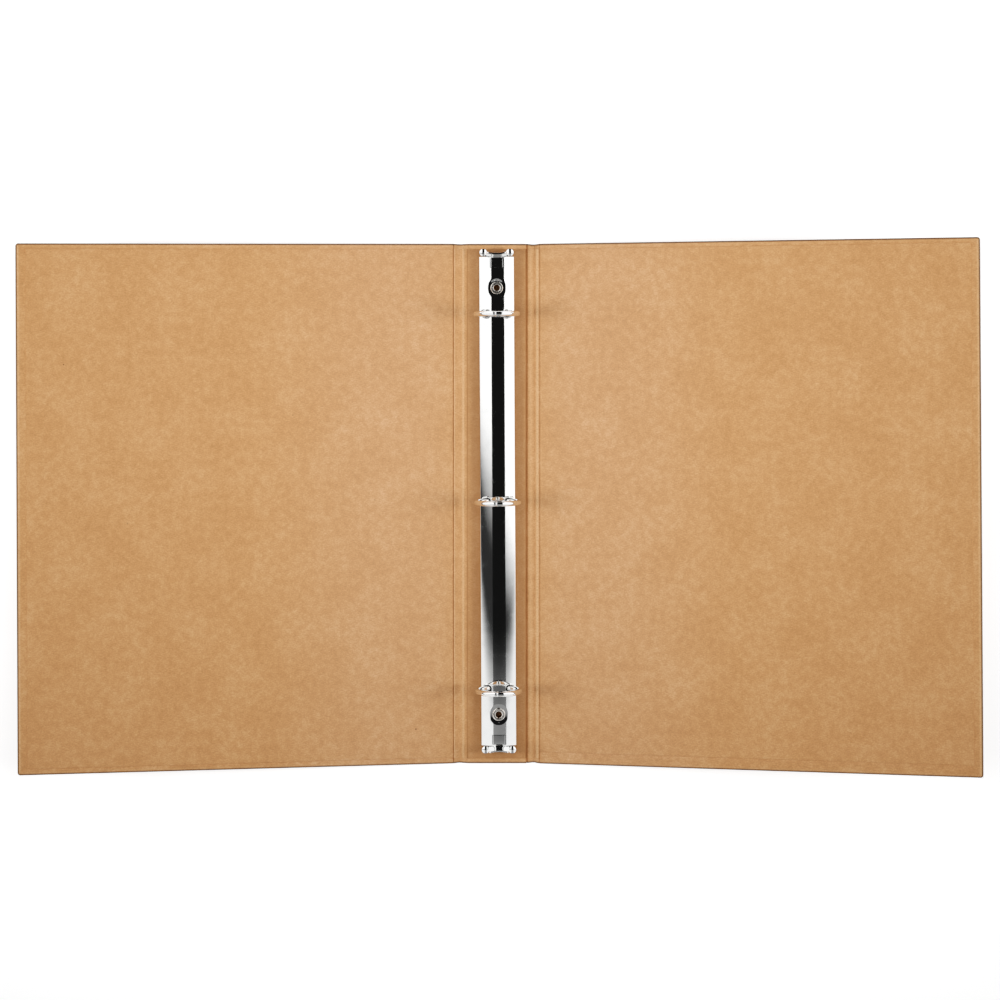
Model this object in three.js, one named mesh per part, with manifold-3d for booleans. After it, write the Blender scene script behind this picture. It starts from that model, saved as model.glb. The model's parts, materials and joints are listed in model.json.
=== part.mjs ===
// Scrapbook album: a kraft-covered three-ring binder lying open, inside face up.
//
// Units are millimetres and +Z is up. The origin is the centre of the spine's outer face, which rests on
// the table. +X points to the back cover, on the right of an open album, and +Y to the head of the album.
//
// Each board is wrapped in kraft paper whose edges are turned in, and a kraft liner covers the inside. The
// same paper bridges the two gaps beside the spine board and makes the paper hinges. A ring mechanism is
// riveted to the spine: an arched plate, two blades that carry the half rings, and a lever at each end.

import * as THREE from 'three';
import { mergeVertices } from 'three/addons/utils/BufferGeometryUtils.js';
import Module from 'manifold-3d';

const wasm = await Module();
wasm.setup();

// ---- driving dimensions -------------------------------------------------------------------------------

const albumHeight = 301;            // head to tail, over the wrap
const spineBoardWidth = 34;
const hingeGap = 8.6;               // between the spine board and a cover board
const boardThickness = 2;
const paperThickness = 0.3;
const paperGap = 0.1;               // stands for the glue between two layers
const turnInWidth = 15;
const coverCornerRadius = 1.6;

const hingeHeight = 0.3;            // height of both hinge axes, at the inside of the wrap

// Each cover: the side of the spine it is on, its reach from the hinge axis to its outer edge, the degrees
// it rises above flat as the album lies, the degrees it is glued on out of square (its fore-edge turned
// anticlockwise as seen from above), and the distances from its edges to the edges of its liner.
const frontCover = {
  name: 'front',
  side: -1,
  reach: 252.5,
  angle: 7.2,
  skew: 0.25,
  linerMargin: { outer: 5.5, head: 3, tail: 3.6 },
};
const backCover = {
  name: 'back',
  side: 1,
  reach: 254.4,
  angle: 11.8,
  skew: 0.36,
  linerMargin: { outer: 4.9, head: 3, tail: 6.8 },
};
const spineLinerMargin = 3;

const mechanismX = 0.6;             // the ring metal is riveted slightly off the middle of the spine
const mechanismY = 1.8;

const plateHalfLength = 141;
const plateThickness = 0.7;
const plateTop = 9.2;
const plateArchRadius = 20;         // to the middle of the sheet
const plateArchHalfWidth = 9.2;     // where the arch runs into its rounded shoulder
const plateShoulderRadius = 1;
const plateCurlRadius = 0.6;
const plateCurlHeight = 4.4;
const plateCurlTurn = 130;          // degrees that the lower edge is curled inwards
const plateLipLength = 0.7;
const ringSlotInnerX = 3.5;         // each ring slot runs sideways from here
const ringSlotOuterX = 9;

const tongueHalfWidth = 3.4;        // a tongue is lanced from the arch near each end of the plate
const tongueLength = 5.6;
const tongueRoot = 0.9;             // from the end of the plate to the tongue's bend
const tongueSlope = 5;              // degrees that it is pressed down
const tongueSideGap = 0.35;

const rivetSpacing = 246;
const rivetShankRadius = 2.5;
const rivetBoreRadius = 2;
const rivetBoreBottom = 2.2;
const rivetHeadRadius = 5;
const rivetHeadBottom = 0.1;        // the outer head is pressed in just above the outer face of the spine
const rivetHeadTop = 0.9;
const rivetHeadChamfer = 0.25;
const rivetCollarRadius = 3.6;
const rivetCollarHeight = 0.9;      // above the floor of the dimple
const rivetClearance = 0.2;
const dimpleRadius = 5.7;
const dimpleFloorRadius = 4.2;
const dimpleDepth = 1.3;
const dimpleRimDrop = 0.55;         // the top of the dimple's wall lies under the top of the arch

const bladePivotX = 9.05;
const bladePivotZ = 5.5;
const bladeWidth = 8.95;
const bladeThickness = 1;
const bladeRestTilt = 7.5;          // degrees that the blades slope down to the middle with the rings shut
const bladeNotchRadius = 6;         // clears the rivets

const ringPitch = 107.95;           // the standard three-ring pitch of 4.25 inches
const ringRadius = 12;              // to the middle of the wire
const wireRadius = 1.5;
const ringCentreZ = 18.2;
const ringSeamX = -0.8;             // the half rings meet slightly in front of the top
const ringSeamGap = 0.1;
const ringFootAngle = -57;          // degrees, where the round wire starts to bend down into the plate
const ringFootX = 5.6;
const spigotRadius = 0.9;

const leverSheet = 1;
const leverWave = 0.7;              // how far the tab waves in and out of its mean plane
const leverOffset = 1.5;            // from the end of the plate to the mean plane of the tab
const leverBottom = 4;
const leverTabBottom = 9.9;
const leverTop = 18.5;
const leverTabHalfWidth = 9.9;
const leverNeckHalfWidth = 6.5;
const leverTopCornerRadius = 2.4;
const leverProngInnerX = 4.5;
const leverProngOuterX = 6.4;
const leverProngInset = 0.9;        // how far the prongs reach in under the plate
const leverProngThickness = 0.7;

// ---- derived sizes ------------------------------------------------------------------------------------

const halfHeight = albumHeight / 2;
const halfSpine = spineBoardWidth / 2;
const hingeX = halfSpine + hingeGap / 2;
const boardBottom = paperThickness + paperGap;
const boardTop = boardBottom + boardThickness;
const turnInBottom = boardTop + paperGap;
const turnInTop = turnInBottom + paperThickness;
const linerBottom = turnInTop + paperGap;
const linerTop = linerBottom + paperThickness;
const seamGap = paperGap / 2;       // half of the gap where two lengths of one sheet meet
const overshoot = 1;                // how far a cutting tool reaches past the face that it cuts
const rivetYs = [mechanismY + rivetSpacing / 2, mechanismY - rivetSpacing / 2];
const plateToolBottom = plateCurlHeight + 1;    // a tool that pierces the arch leaves the curls whole
const plateToolTop = plateTop + overshoot;
const degrees = Math.PI / 180;

// ---- materials ----------------------------------------------------------------------------------------

const kraft = new THREE.MeshStandardMaterial({ color: 0xcb9a68, roughness: 0.85, metalness: 0 });
const greyboard = new THREE.MeshStandardMaterial({ color: 0x9a8e7c, roughness: 0.9, metalness: 0 });
const chrome = new THREE.MeshStandardMaterial({ color: 0xd8d9da, roughness: 0.12, metalness: 1 });
const steel = new THREE.MeshStandardMaterial({ color: 0xa9abad, roughness: 0.35, metalness: 1 });

// ---- solids: joining and cutting ----------------------------------------------------------------------

function toSolid(geometry) {
  const bare = geometry.clone();
  bare.deleteAttribute('normal');
  bare.deleteAttribute('uv');
  const merged = mergeVertices(bare, 1e-4);
  return new wasm.Manifold(new wasm.Mesh({
    numProp: 3,
    vertProperties: new Float32Array(merged.attributes.position.array),
    triVerts: new Uint32Array(merged.index.array),
  }));
}

function toGeometry(solid) {
  const mesh = solid.getMesh();
  const geometry = new THREE.BufferGeometry();
  geometry.setAttribute('position', new THREE.BufferAttribute(mesh.vertProperties, 3));
  geometry.setIndex(new THREE.BufferAttribute(mesh.triVerts, 1));
  geometry.computeVertexNormals();
  return geometry;
}

function cut(geometry, tools) {
  const cutSolid = tools.reduce((solid, tool) => solid.subtract(toSolid(tool)), toSolid(geometry));
  return toGeometry(cutSolid);
}

function join(geometries) {
  const [first, ...others] = geometries.map(toSolid);
  return toGeometry(others.reduce((solid, other) => solid.add(other), first));
}

function intersect(first, second) {
  return toGeometry(toSolid(first).intersect(toSolid(second)));
}

// The mirror image across the plane X = 0, with its faces still pointing out.
function mirrorX(geometry) {
  const mirrored = mergeVertices(geometry.clone().deleteAttribute('uv').deleteAttribute('normal'), 1e-4);
  mirrored.scale(-1, 1, 1);
  const index = mirrored.index.array;
  for (let i = 0; i < index.length; i += 3) {
    const second = index[i + 1];
    index[i + 1] = index[i + 2];
    index[i + 2] = second;
  }
  mirrored.computeVertexNormals();
  return mirrored;
}

// ---- basic shapes -------------------------------------------------------------------------------------

function boxBetween(low, high) {
  const size = high.map((value, axis) => value - low[axis]);
  const centre = high.map((value, axis) => (value + low[axis]) / 2);
  return new THREE.BoxGeometry(...size).translate(...centre);
}

function uprightCylinder(radius, x, y, bottom, top, sides = 24) {
  const cylinder = new THREE.CylinderGeometry(radius, radius, top - bottom, sides);
  return cylinder.rotateX(Math.PI / 2).translate(x, y, (top + bottom) / 2);
}

function extrudeUp(shape, bottom, top, curveSegments = 12) {
  const settings = { depth: top - bottom, bevelEnabled: false, curveSegments };
  return new THREE.ExtrudeGeometry(shape, settings).translate(0, 0, bottom);
}

// The shape is drawn in the XZ plane and runs from startY to endY.
function extrudeAlongY(shape, startY, endY, curveSegments = 12) {
  const settings = { depth: endY - startY, bevelEnabled: false, curveSegments };
  return new THREE.ExtrudeGeometry(shape, settings).rotateX(Math.PI / 2).translate(0, endY, 0);
}

// The profile is a list of [radius, height] points and turns about an upright axis through (x, y).
function latheUpright(profile, x, y, sides = 24) {
  const points = profile.map(([radius, height]) => new THREE.Vector2(radius, height));
  return new THREE.LatheGeometry(points, sides).rotateX(Math.PI / 2).translate(x, y, 0);
}

// The outline of a sheet of even thickness whose middle runs along the given points.
function sheetOutline(points, thickness) {
  const half = thickness / 2;
  const sideNormal = (from, to) => {
    const along = to.clone().sub(from).normalize();
    return new THREE.Vector2(-along.y, along.x);
  };
  const last = points.length - 1;
  const offsets = points.map((point, i) => {
    const before = sideNormal(points[Math.max(i - 1, 0)], points[Math.max(i, 1)]);
    const after = sideNormal(points[Math.min(i, last - 1)], points[Math.min(i + 1, last)]);
    const mitre = before.clone().add(after).normalize();
    return mitre.multiplyScalar(half / mitre.dot(after));
  });
  const left = points.map((point, i) => point.clone().add(offsets[i]));
  const right = points.map((point, i) => point.clone().sub(offsets[i]));
  return new THREE.Shape([...right, ...left.reverse()]);
}

function arcPoints(centreX, centreZ, radius, startDegrees, endDegrees, steps) {
  const points = [];
  for (let i = 0; i <= steps; i += 1) {
    const angle = (startDegrees + (endDegrees - startDegrees) * i / steps) * degrees;
    points.push(new THREE.Vector2(centreX + radius * Math.cos(angle), centreZ + radius * Math.sin(angle)));
  }
  return points;
}

// A rectangle between two distances from the hinge axis, with its two far corners rounded.
function panelShape(nearX, farX, tailY, headY, cornerRadius) {
  const shape = new THREE.Shape();
  shape.moveTo(nearX, tailY);
  shape.lineTo(farX - cornerRadius, tailY);
  shape.absarc(farX - cornerRadius, tailY + cornerRadius, cornerRadius, -Math.PI / 2, 0, false);
  shape.absarc(farX - cornerRadius, headY - cornerRadius, cornerRadius, 0, Math.PI / 2, false);
  shape.lineTo(nearX, headY);
  return shape;
}

// ---- boards, wrap and liner ---------------------------------------------------------------------------

// Pushes a flat cover piece on the +X side out of square: its hinge edge stays where it is, its head and
// tail edges slope, and its fore-edge stays at right angles to them.
function skewCover(geometry, cover) {
  const slope = Math.tan(cover.side * cover.skew * degrees);
  const near = hingeGap / 2;
  const positions = geometry.attributes.position;
  for (let i = 0; i < positions.count; i += 1) {
    const x = positions.getX(i);
    const y = positions.getY(i);
    const share = THREE.MathUtils.clamp((x - near) / (cover.reach - near), 0, 1);
    positions.setXYZ(i, x - slope * y * share, y + slope * Math.max(x - near, 0), positions.getZ(i));
  }
  return geometry;
}

function coverBoard(cover) {
  const inset = paperThickness + paperGap;
  const outline = panelShape(hingeGap / 2, cover.reach - inset, inset - halfHeight, halfHeight - inset,
    coverCornerRadius - inset);
  return extrudeUp(outline, boardBottom, boardTop, 4);
}

// The kraft paper over the outside of a cover board, with its three edges turned in over the board.
function coverWrap(cover) {
  const near = hingeGap / 2 + seamGap;
  const outline = panelShape(near, cover.reach, -halfHeight, halfHeight, coverCornerRadius);
  const block = extrudeUp(outline, 0, turnInTop, 4);
  const pastNear = near - overshoot;
  const pocketShape = panelShape(pastNear, cover.reach - paperThickness, paperThickness - halfHeight,
    halfHeight - paperThickness, coverCornerRadius - paperThickness);
  const pocket = extrudeUp(pocketShape, paperThickness, turnInBottom, 4);
  const innerHeight = halfHeight - turnInWidth;
  const window = boxBetween([pastNear, -innerHeight, boardBottom],
    [cover.reach - turnInWidth, innerHeight, turnInTop + overshoot]);
  return cut(block, [pocket, window]);
}

function coverLiner(cover) {
  const margin = cover.linerMargin;
  const outline = panelShape(hingeGap / 2 + seamGap, cover.reach - margin.outer, margin.tail - halfHeight,
    halfHeight - margin.head, 0.5);
  return extrudeUp(outline, linerBottom, linerTop, 3);
}

function spineBoard() {
  const end = halfHeight - paperThickness - paperGap;
  const slab = boxBetween([-halfSpine, -end, boardBottom], [halfSpine, end, boardTop]);
  const shankHoleRadius = rivetShankRadius + rivetClearance;
  const headHoleRadius = rivetHeadRadius + rivetClearance;
  const bottom = boardBottom - overshoot;
  const tools = rivetYs.flatMap((y) => [
    uprightCylinder(shankHoleRadius, mechanismX, y, bottom, boardTop + overshoot),
    uprightCylinder(headHoleRadius, mechanismX, y, bottom, rivetHeadTop + rivetClearance),
  ]);
  return cut(slab, tools);
}

function spineWrap() {
  const edge = halfSpine - seamGap;
  const past = edge + overshoot;
  const block = boxBetween([-edge, -halfHeight, 0], [edge, halfHeight, turnInTop]);
  const pocket = boxBetween([-past, paperThickness - halfHeight, paperThickness],
    [past, halfHeight - paperThickness, turnInBottom]);
  const innerHeight = halfHeight - turnInWidth;
  const window = boxBetween([-past, -innerHeight, boardBottom], [past, innerHeight, turnInTop + overshoot]);
  const headHoles = rivetYs.map((y) => (
    uprightCylinder(rivetHeadRadius + rivetClearance, mechanismX, y, -overshoot, boardBottom)));
  return cut(block, [pocket, window, ...headHoles]);
}

function spineLiner() {
  const edge = halfSpine - seamGap;
  const end = halfHeight - spineLinerMargin;
  const sheet = boxBetween([-edge, -end, linerBottom], [edge, end, linerTop]);
  const holeRadius = rivetShankRadius + rivetClearance;
  const holes = rivetYs.map((y) => (
    uprightCylinder(holeRadius, mechanismX, y, linerBottom - overshoot, linerTop + overshoot)));
  return cut(sheet, holes);
}

// Bends a flat hinge profile, given from the hinge axis, so that its far side follows the cover.
function bendAcrossHinge(flatPoints, coverAngle) {
  const half = hingeGap / 2;
  return flatPoints.map(([across, above]) => {
    const share = THREE.MathUtils.smoothstep(across, -half, half);
    const angle = coverAngle * degrees * share;
    const bent = new THREE.Vector2(across, above).rotateAround(new THREE.Vector2(0, 0), angle);
    return bent.add(new THREE.Vector2(hingeX, hingeHeight));
  });
}

// The outer paper across a hinge gap, which is a plain bent strip.
function hingeWrap(coverAngle) {
  const end = hingeGap / 2 - seamGap;
  const steps = 8;
  const flat = Array.from({ length: steps + 1 }, (unused, i) => (
    [-end + 2 * end * i / steps, paperThickness / 2 - hingeHeight]));
  const outline = sheetOutline(bendAcrossHinge(flat, coverAngle), paperThickness);
  return extrudeAlongY(outline, -halfHeight, halfHeight);
}

// The liner across a hinge gap, pressed down between the boards until it nearly meets the outer paper.
function hingeLiner(coverAngle) {
  const end = hingeGap / 2 - seamGap;
  const high = (linerBottom + linerTop) / 2 - hingeHeight;
  const low = boardBottom + paperThickness / 2 - hingeHeight;
  const wall = 2.2;                 // how far across the gap the pressed paper takes to reach its bottom
  const steps = 6;
  const fall = Array.from({ length: steps + 1 }, (unused, i) => {
    const share = i / steps;
    return [-end + wall * share, high + (low - high) * THREE.MathUtils.smoothstep(share, 0, 1)];
  });
  const rise = fall.map(([across, above]) => [-across, above]).reverse();
  const outline = sheetOutline(bendAcrossHinge([...fall, ...rise], coverAngle), paperThickness);
  return extrudeAlongY(outline, spineLinerMargin - halfHeight, halfHeight - spineLinerMargin);
}

// ---- ring mechanism, drawn about its own middle -------------------------------------------------------

// Middle of the plate's sheet, from the end of its left curled lip, over the arch, to the right one.
function plateMiddleLine() {
  const archCentreZ = plateTop - plateThickness / 2 - plateArchRadius;
  const archAngle = Math.acos(plateArchHalfWidth / plateArchRadius) / degrees;
  const arch = arcPoints(0, archCentreZ, plateArchRadius, 90, archAngle, 8);
  const archEnd = arch[arch.length - 1];
  const shoulderX = archEnd.x - plateShoulderRadius * Math.cos(archAngle * degrees);
  const shoulderZ = archEnd.y - plateShoulderRadius * Math.sin(archAngle * degrees);
  const shoulder = arcPoints(shoulderX, shoulderZ, plateShoulderRadius, archAngle, 0, 4).slice(1);
  const curlX = shoulderX + plateShoulderRadius - plateCurlRadius;
  const curl = arcPoints(curlX, plateCurlHeight, plateCurlRadius, 0, -plateCurlTurn, 4);
  const curlEnd = curl[curl.length - 1];
  const lipAngle = -(plateCurlTurn + 90) * degrees;
  const lip = new THREE.Vector2(Math.cos(lipAngle), Math.sin(lipAngle)).multiplyScalar(plateLipLength);
  const right = [...arch, ...shoulder, ...curl, curlEnd.clone().add(lip)];
  const left = right.slice(1).map((point) => new THREE.Vector2(-point.x, point.y)).reverse();
  return [...left, ...right];
}

// A round pressed hollow around a rivet, with a flat floor and a sloping wall.
function plateDimple(y) {
  const floorTop = plateTop - dimpleDepth;
  const floorBottom = floorTop - plateThickness;
  const rimTop = plateTop - dimpleRimDrop;
  const rimBottom = rimTop - plateThickness;
  const rimRadius = dimpleRadius + 0.5;
  const holeRadius = rivetShankRadius + paperGap;
  const profile = [
    [holeRadius, floorBottom],
    [dimpleFloorRadius, floorBottom],
    [rimRadius, rimBottom],
    [rimRadius, rimTop],
    [dimpleFloorRadius - 0.2, floorTop],
    [holeRadius, floorTop],
    [holeRadius, floorBottom],
  ];
  return latheUpright(profile, 0, y);
}

// Slot that a half ring passes through, wide enough for its swing.
function ringSlot(side, y) {
  const halfSlot = wireRadius + 0.3;
  const shape = new THREE.Shape();
  shape.absarc(ringSlotOuterX - halfSlot, 0, halfSlot, -Math.PI / 2, Math.PI / 2, false);
  shape.absarc(ringSlotInnerX + halfSlot, 0, halfSlot, Math.PI / 2, 3 * Math.PI / 2, false);
  const slot = extrudeUp(shape, plateToolBottom, plateToolTop, 5);
  const placed = side > 0 ? slot : mirrorX(slot);
  return placed.translate(0, y, 0);
}

// The tongue keeps the curve of the arch and slopes down towards the middle of the plate.
function plateTongue(end) {
  const halfAngle = Math.asin(tongueHalfWidth / plateArchRadius) / degrees;
  const middle = arcPoints(0, -plateArchRadius, plateArchRadius, 90 - halfAngle, 90 + halfAngle, 6);
  const rootOverlap = 0.3;
  const sheet = extrudeAlongY(sheetOutline(middle, plateThickness), -tongueLength, rootOverlap);
  const rootZ = plateTop - plateThickness / 2 - 0.02;
  const pressed = sheet.rotateX(tongueSlope * degrees).translate(0, plateHalfLength - tongueRoot, rootZ);
  return end > 0 ? pressed : pressed.rotateZ(Math.PI);
}

// The window that the tongue is lanced from.
function tongueWindow(end) {
  const halfWidth = tongueHalfWidth + tongueSideGap;
  const near = end * (plateHalfLength - tongueRoot);
  const far = end * (plateHalfLength - tongueRoot - tongueLength - 0.5);
  return boxBetween([-halfWidth, Math.min(near, far), plateToolBottom],
    [halfWidth, Math.max(near, far), plateToolTop]);
}

function ringPlate() {
  const section = sheetOutline(plateMiddleLine(), plateThickness);
  const sheet = extrudeAlongY(section, -plateHalfLength, plateHalfLength);
  const rivets = [rivetSpacing / 2, -rivetSpacing / 2];
  const tools = rivets.map((y) => uprightCylinder(dimpleRadius, 0, y, plateToolBottom, plateToolTop));
  [-ringPitch, 0, ringPitch].forEach((y) => tools.push(ringSlot(1, y), ringSlot(-1, y)));
  tools.push(tongueWindow(1), tongueWindow(-1));
  const pierced = cut(sheet, tools);
  return join([pierced, ...rivets.map(plateDimple), plateTongue(1), plateTongue(-1)]);
}

// A flat steel strip that pivots along its outer edge, at x = 0, and reaches to the middle of the plate.
function blade() {
  const end = plateHalfLength - 0.3;
  const notchY = rivetSpacing / 2;
  const reach = Math.sqrt(bladeNotchRadius ** 2 - (bladePivotX - bladeWidth) ** 2);
  const notchAngle = Math.atan2(reach, bladeWidth - bladePivotX);
  const shape = new THREE.Shape();
  shape.moveTo(0, -end);
  shape.lineTo(bladeWidth, -end);
  [-notchY, notchY].forEach((y) => {
    shape.absarc(bladePivotX, y, bladeNotchRadius, -notchAngle, notchAngle, true);
  });
  shape.lineTo(bladeWidth, end);
  shape.lineTo(0, end);
  [-ringPitch, 0, ringPitch].forEach((y) => {
    const hole = new THREE.Path();
    hole.absarc(bladePivotX - ringFootX, y, spigotRadius + 0.1, 0, 2 * Math.PI, true);
    shape.holes.push(hole);
  });
  return extrudeUp(shape, -bladeThickness / 2, bladeThickness / 2, 6);
}

function placeBlade(side) {
  const geometry = side > 0 ? mirrorX(blade()) : blade();
  const mesh = new THREE.Mesh(geometry, steel);
  mesh.position.set(side * bladePivotX, 0, bladePivotZ);
  mesh.rotation.y = -side * bladeRestTilt * degrees;
  return mesh;
}

// The middle of a half ring's wire on the +X side: round from the seam, then down onto the blade.
class HalfRingCurve extends THREE.Curve {
  constructor(seamX, footX, footZ, footAngle) {
    super();
    this.startAngle = Math.acos(seamX / ringRadius);
    this.endAngle = ringFootAngle * degrees;
    const foot = new THREE.Vector3(footX, 0, footZ);
    const down = new THREE.Vector3(Math.sin(footAngle), 0, -Math.cos(footAngle));
    const arcEnd = this.onRing(this.endAngle);
    const heading = new THREE.Vector3(Math.sin(this.endAngle), 0, -Math.cos(this.endAngle));
    const handle = 0.95;            // makes the bend nearly round
    this.bend = new THREE.CubicBezierCurve3(
      arcEnd,
      arcEnd.clone().addScaledVector(heading, handle),
      foot.clone().addScaledVector(down, -handle),
      foot,
    );
    this.arcShare = 0.9;
  }

  onRing(angle) {
    return new THREE.Vector3(ringRadius * Math.cos(angle), 0, ringCentreZ + ringRadius * Math.sin(angle));
  }

  getPoint(t) {
    if (t <= this.arcShare) {
      return this.onRing(THREE.MathUtils.lerp(this.startAngle, this.endAngle, t / this.arcShare));
    }
    return this.bend.getPoint((t - this.arcShare) / (1 - this.arcShare));
  }
}

// The wire of one half ring with the spigot that is staked into the blade's hole.
function halfRingWire(seamX) {
  const tilt = bladeRestTilt * degrees;
  const bladeTopOverPivot = bladeThickness / 2 + paperGap;
  const reach = bladePivotX - ringFootX;
  const footX = bladePivotX - reach * Math.cos(tilt) - bladeTopOverPivot * Math.sin(tilt);
  const footZ = bladePivotZ - reach * Math.sin(tilt) + bladeTopOverPivot * Math.cos(tilt);
  const curve = new HalfRingCurve(seamX, footX, footZ, tilt);
  const section = new THREE.Shape();
  section.absarc(0, 0, wireRadius, 0, 2 * Math.PI, false);
  const wire = new THREE.ExtrudeGeometry(section, { steps: 26, curveSegments: 6, extrudePath: curve });
  const spigotLength = bladeThickness + 0.2;
  const rootOverlap = 0.4;
  const spigot = new THREE.CylinderGeometry(spigotRadius, spigotRadius, spigotLength + rootOverlap, 10);
  spigot.rotateX(Math.PI / 2).translate(0, 0, (rootOverlap - spigotLength) / 2);
  spigot.rotateY(-tilt).translate(footX, 0, footZ);
  return join([wire, spigot]);
}

// The pointed tip that locates one half ring in the other when the rings are shut.
function ringTip(grow) {
  const length = 1.1 + grow;
  const rootOverlap = 0.4;
  const tip = new THREE.CylinderGeometry(0.45 + grow, 0.85 + grow, length + rootOverlap, 10);
  const sideways = tip.rotateZ(Math.PI / 2).translate((rootOverlap - length) / 2, 0, 0);
  const tipTurn = Math.asin(-ringSeamX / ringRadius);
  const seamZ = ringCentreZ + Math.sqrt(ringRadius ** 2 - ringSeamX ** 2);
  return sideways.rotateY(-tipTurn).translate(ringSeamX + ringSeamGap / 2, 0, seamZ);
}

function halfRing(side) {
  if (side > 0) {
    return join([halfRingWire(ringSeamX + ringSeamGap / 2), ringTip(0)]);
  }
  const wire = mirrorX(halfRingWire(-ringSeamX + ringSeamGap / 2));
  return cut(wire, [ringTip(0.15)]);
}

// The upright lever at the end of the plate: a waved thumb tab, a neck, and two prongs under the blades.
function lever() {
  const middleY = plateHalfLength + leverOffset;
  const steps = 24;
  const wave = Array.from({ length: steps + 1 }, (unused, i) => {
    const x = leverTabHalfWidth * (1 - 2 * i / steps);
    return new THREE.Vector2(x, middleY + leverWave * Math.cos(2 * Math.PI * x / leverTabHalfWidth));
  });
  const sheet = extrudeUp(sheetOutline(wave, leverSheet), leverBottom, leverTop);
  const outline = new THREE.Shape();
  const corner = leverTopCornerRadius;
  const cornerX = leverTabHalfWidth + 0.1 - corner;
  outline.moveTo(-leverNeckHalfWidth, leverBottom - overshoot);
  outline.lineTo(leverNeckHalfWidth, leverBottom - overshoot);
  outline.lineTo(leverNeckHalfWidth, leverTabBottom);
  outline.lineTo(leverTabHalfWidth + overshoot, leverTabBottom);
  outline.absarc(cornerX, leverTop - corner, corner, 0, Math.PI / 2, false);
  outline.absarc(-cornerX, leverTop - corner, corner, Math.PI / 2, Math.PI, false);
  outline.lineTo(-leverTabHalfWidth - overshoot, leverTabBottom);
  outline.lineTo(-leverNeckHalfWidth, leverTabBottom);
  const reach = leverWave + leverSheet + overshoot;
  const front = extrudeAlongY(outline, middleY - reach, middleY + reach, 8);
  const web = intersect(sheet, front);
  const prongTop = leverBottom + 0.2;
  const prongs = [1, -1].map((side) => {
    const xs = [side * leverProngInnerX, side * leverProngOuterX];
    return boxBetween(
      [Math.min(...xs), plateHalfLength - leverProngInset, prongTop - leverProngThickness],
      [Math.max(...xs), middleY - 0.1, prongTop],
    );
  });
  return join([web, ...prongs]);
}

// A semi-tubular rivet: flat head under the spine, hollow shank, and a flared collar in the dimple.
function rivet(y) {
  const collarBottom = plateTop - dimpleDepth + paperGap;
  const collarTop = plateTop - dimpleDepth + rivetCollarHeight;
  const rollRadius = (collarTop - collarBottom) / 2;
  const rollHeight = collarBottom + rollRadius;
  const outerRoll = arcPoints(rivetCollarRadius - rollRadius, rollHeight, rollRadius, -90, 90, 6);
  const innerRoll = arcPoints(rivetBoreRadius + rollRadius, rollHeight, rollRadius, 90, 180, 3);
  const profile = [
    [0, rivetHeadBottom],
    [rivetHeadRadius - rivetHeadChamfer, rivetHeadBottom],
    [rivetHeadRadius, rivetHeadBottom + rivetHeadChamfer],
    [rivetHeadRadius, rivetHeadTop],
    [rivetShankRadius, rivetHeadTop],
    [rivetShankRadius, collarBottom],
    ...[...outerRoll, ...innerRoll].map((point) => point.toArray()),
    [rivetBoreRadius, rivetBoreBottom],
    [0, rivetBoreBottom],
  ];
  return latheUpright(profile, 0, y);
}

// ---- assembly -----------------------------------------------------------------------------------------

const album = new THREE.Group();

function addMesh(parent, name, geometry, material) {
  const mesh = new THREE.Mesh(geometry, material);
  mesh.name = name;
  parent.add(mesh);
}

// A cover is drawn flat on the +X side, from its hinge axis outwards, then mirrored if need be and raised.
function addCover(cover) {
  const sheets = new THREE.Group();
  sheets.position.set(cover.side * hingeX, 0, hingeHeight);
  sheets.rotation.y = -cover.side * cover.angle * degrees;
  album.add(sheets);
  const pieces = {
    board: [coverBoard(cover), greyboard],
    wrap: [coverWrap(cover), kraft],
    liner: [coverLiner(cover), kraft],
  };
  Object.entries(pieces).forEach(([piece, [geometry, material]]) => {
    const skewed = skewCover(geometry, cover);
    const sided = cover.side > 0 ? skewed : mirrorX(skewed);
    addMesh(sheets, `${cover.name}_cover_${piece}`, sided.translate(0, 0, -hingeHeight), material);
  });
  const hinge = { wrap: hingeWrap(cover.angle), liner: hingeLiner(cover.angle) };
  Object.entries(hinge).forEach(([piece, geometry]) => {
    addMesh(album, `${cover.name}_hinge_${piece}`, cover.side > 0 ? geometry : mirrorX(geometry), kraft);
  });
}

function addSpine() {
  addMesh(album, 'spine_board', spineBoard(), greyboard);
  addMesh(album, 'spine_wrap', spineWrap(), kraft);
  addMesh(album, 'spine_liner', spineLiner(), kraft);
}

function addMechanism() {
  const mechanism = new THREE.Group();
  mechanism.position.set(mechanismX, mechanismY, 0);
  album.add(mechanism);
  addMesh(mechanism, 'ring_plate', ringPlate(), chrome);
  [-1, 1].forEach((side) => {
    const name = side < 0 ? 'left' : 'right';
    const bladeMesh = placeBlade(side);
    bladeMesh.name = `${name}_blade`;
    mechanism.add(bladeMesh);
    [ringPitch, 0, -ringPitch].forEach((y, i) => {
      addMesh(mechanism, `${name}_half_ring_${i + 1}`, halfRing(side).translate(0, y, 0), chrome);
    });
  });
  addMesh(mechanism, 'head_lever', lever(), chrome);
  addMesh(mechanism, 'tail_lever', lever().rotateZ(Math.PI), chrome);
  addMesh(mechanism, 'head_rivet', rivet(rivetSpacing / 2), steel);
  addMesh(mechanism, 'tail_rivet', rivet(-rivetSpacing / 2), steel);
}

addSpine();
addCover(frontCover);
addCover(backCover);
addMechanism();

export default album;
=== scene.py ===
"""Looks of a scrapbook album: a kraft-covered three-ring binder that lies open, inside face up.

Blender 4.5, metres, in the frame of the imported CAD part: the origin is the centre of the spine's outer
face, +X points to the back cover and +Y to the head. The kraft paper, the ring metal and the rivets are
modelled here around the CAD bodies; the boards and the blades stay as the CAD made them.
"""

import json
import math

import bmesh
import bpy
from mathutils import Matrix, Vector, noise


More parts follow.
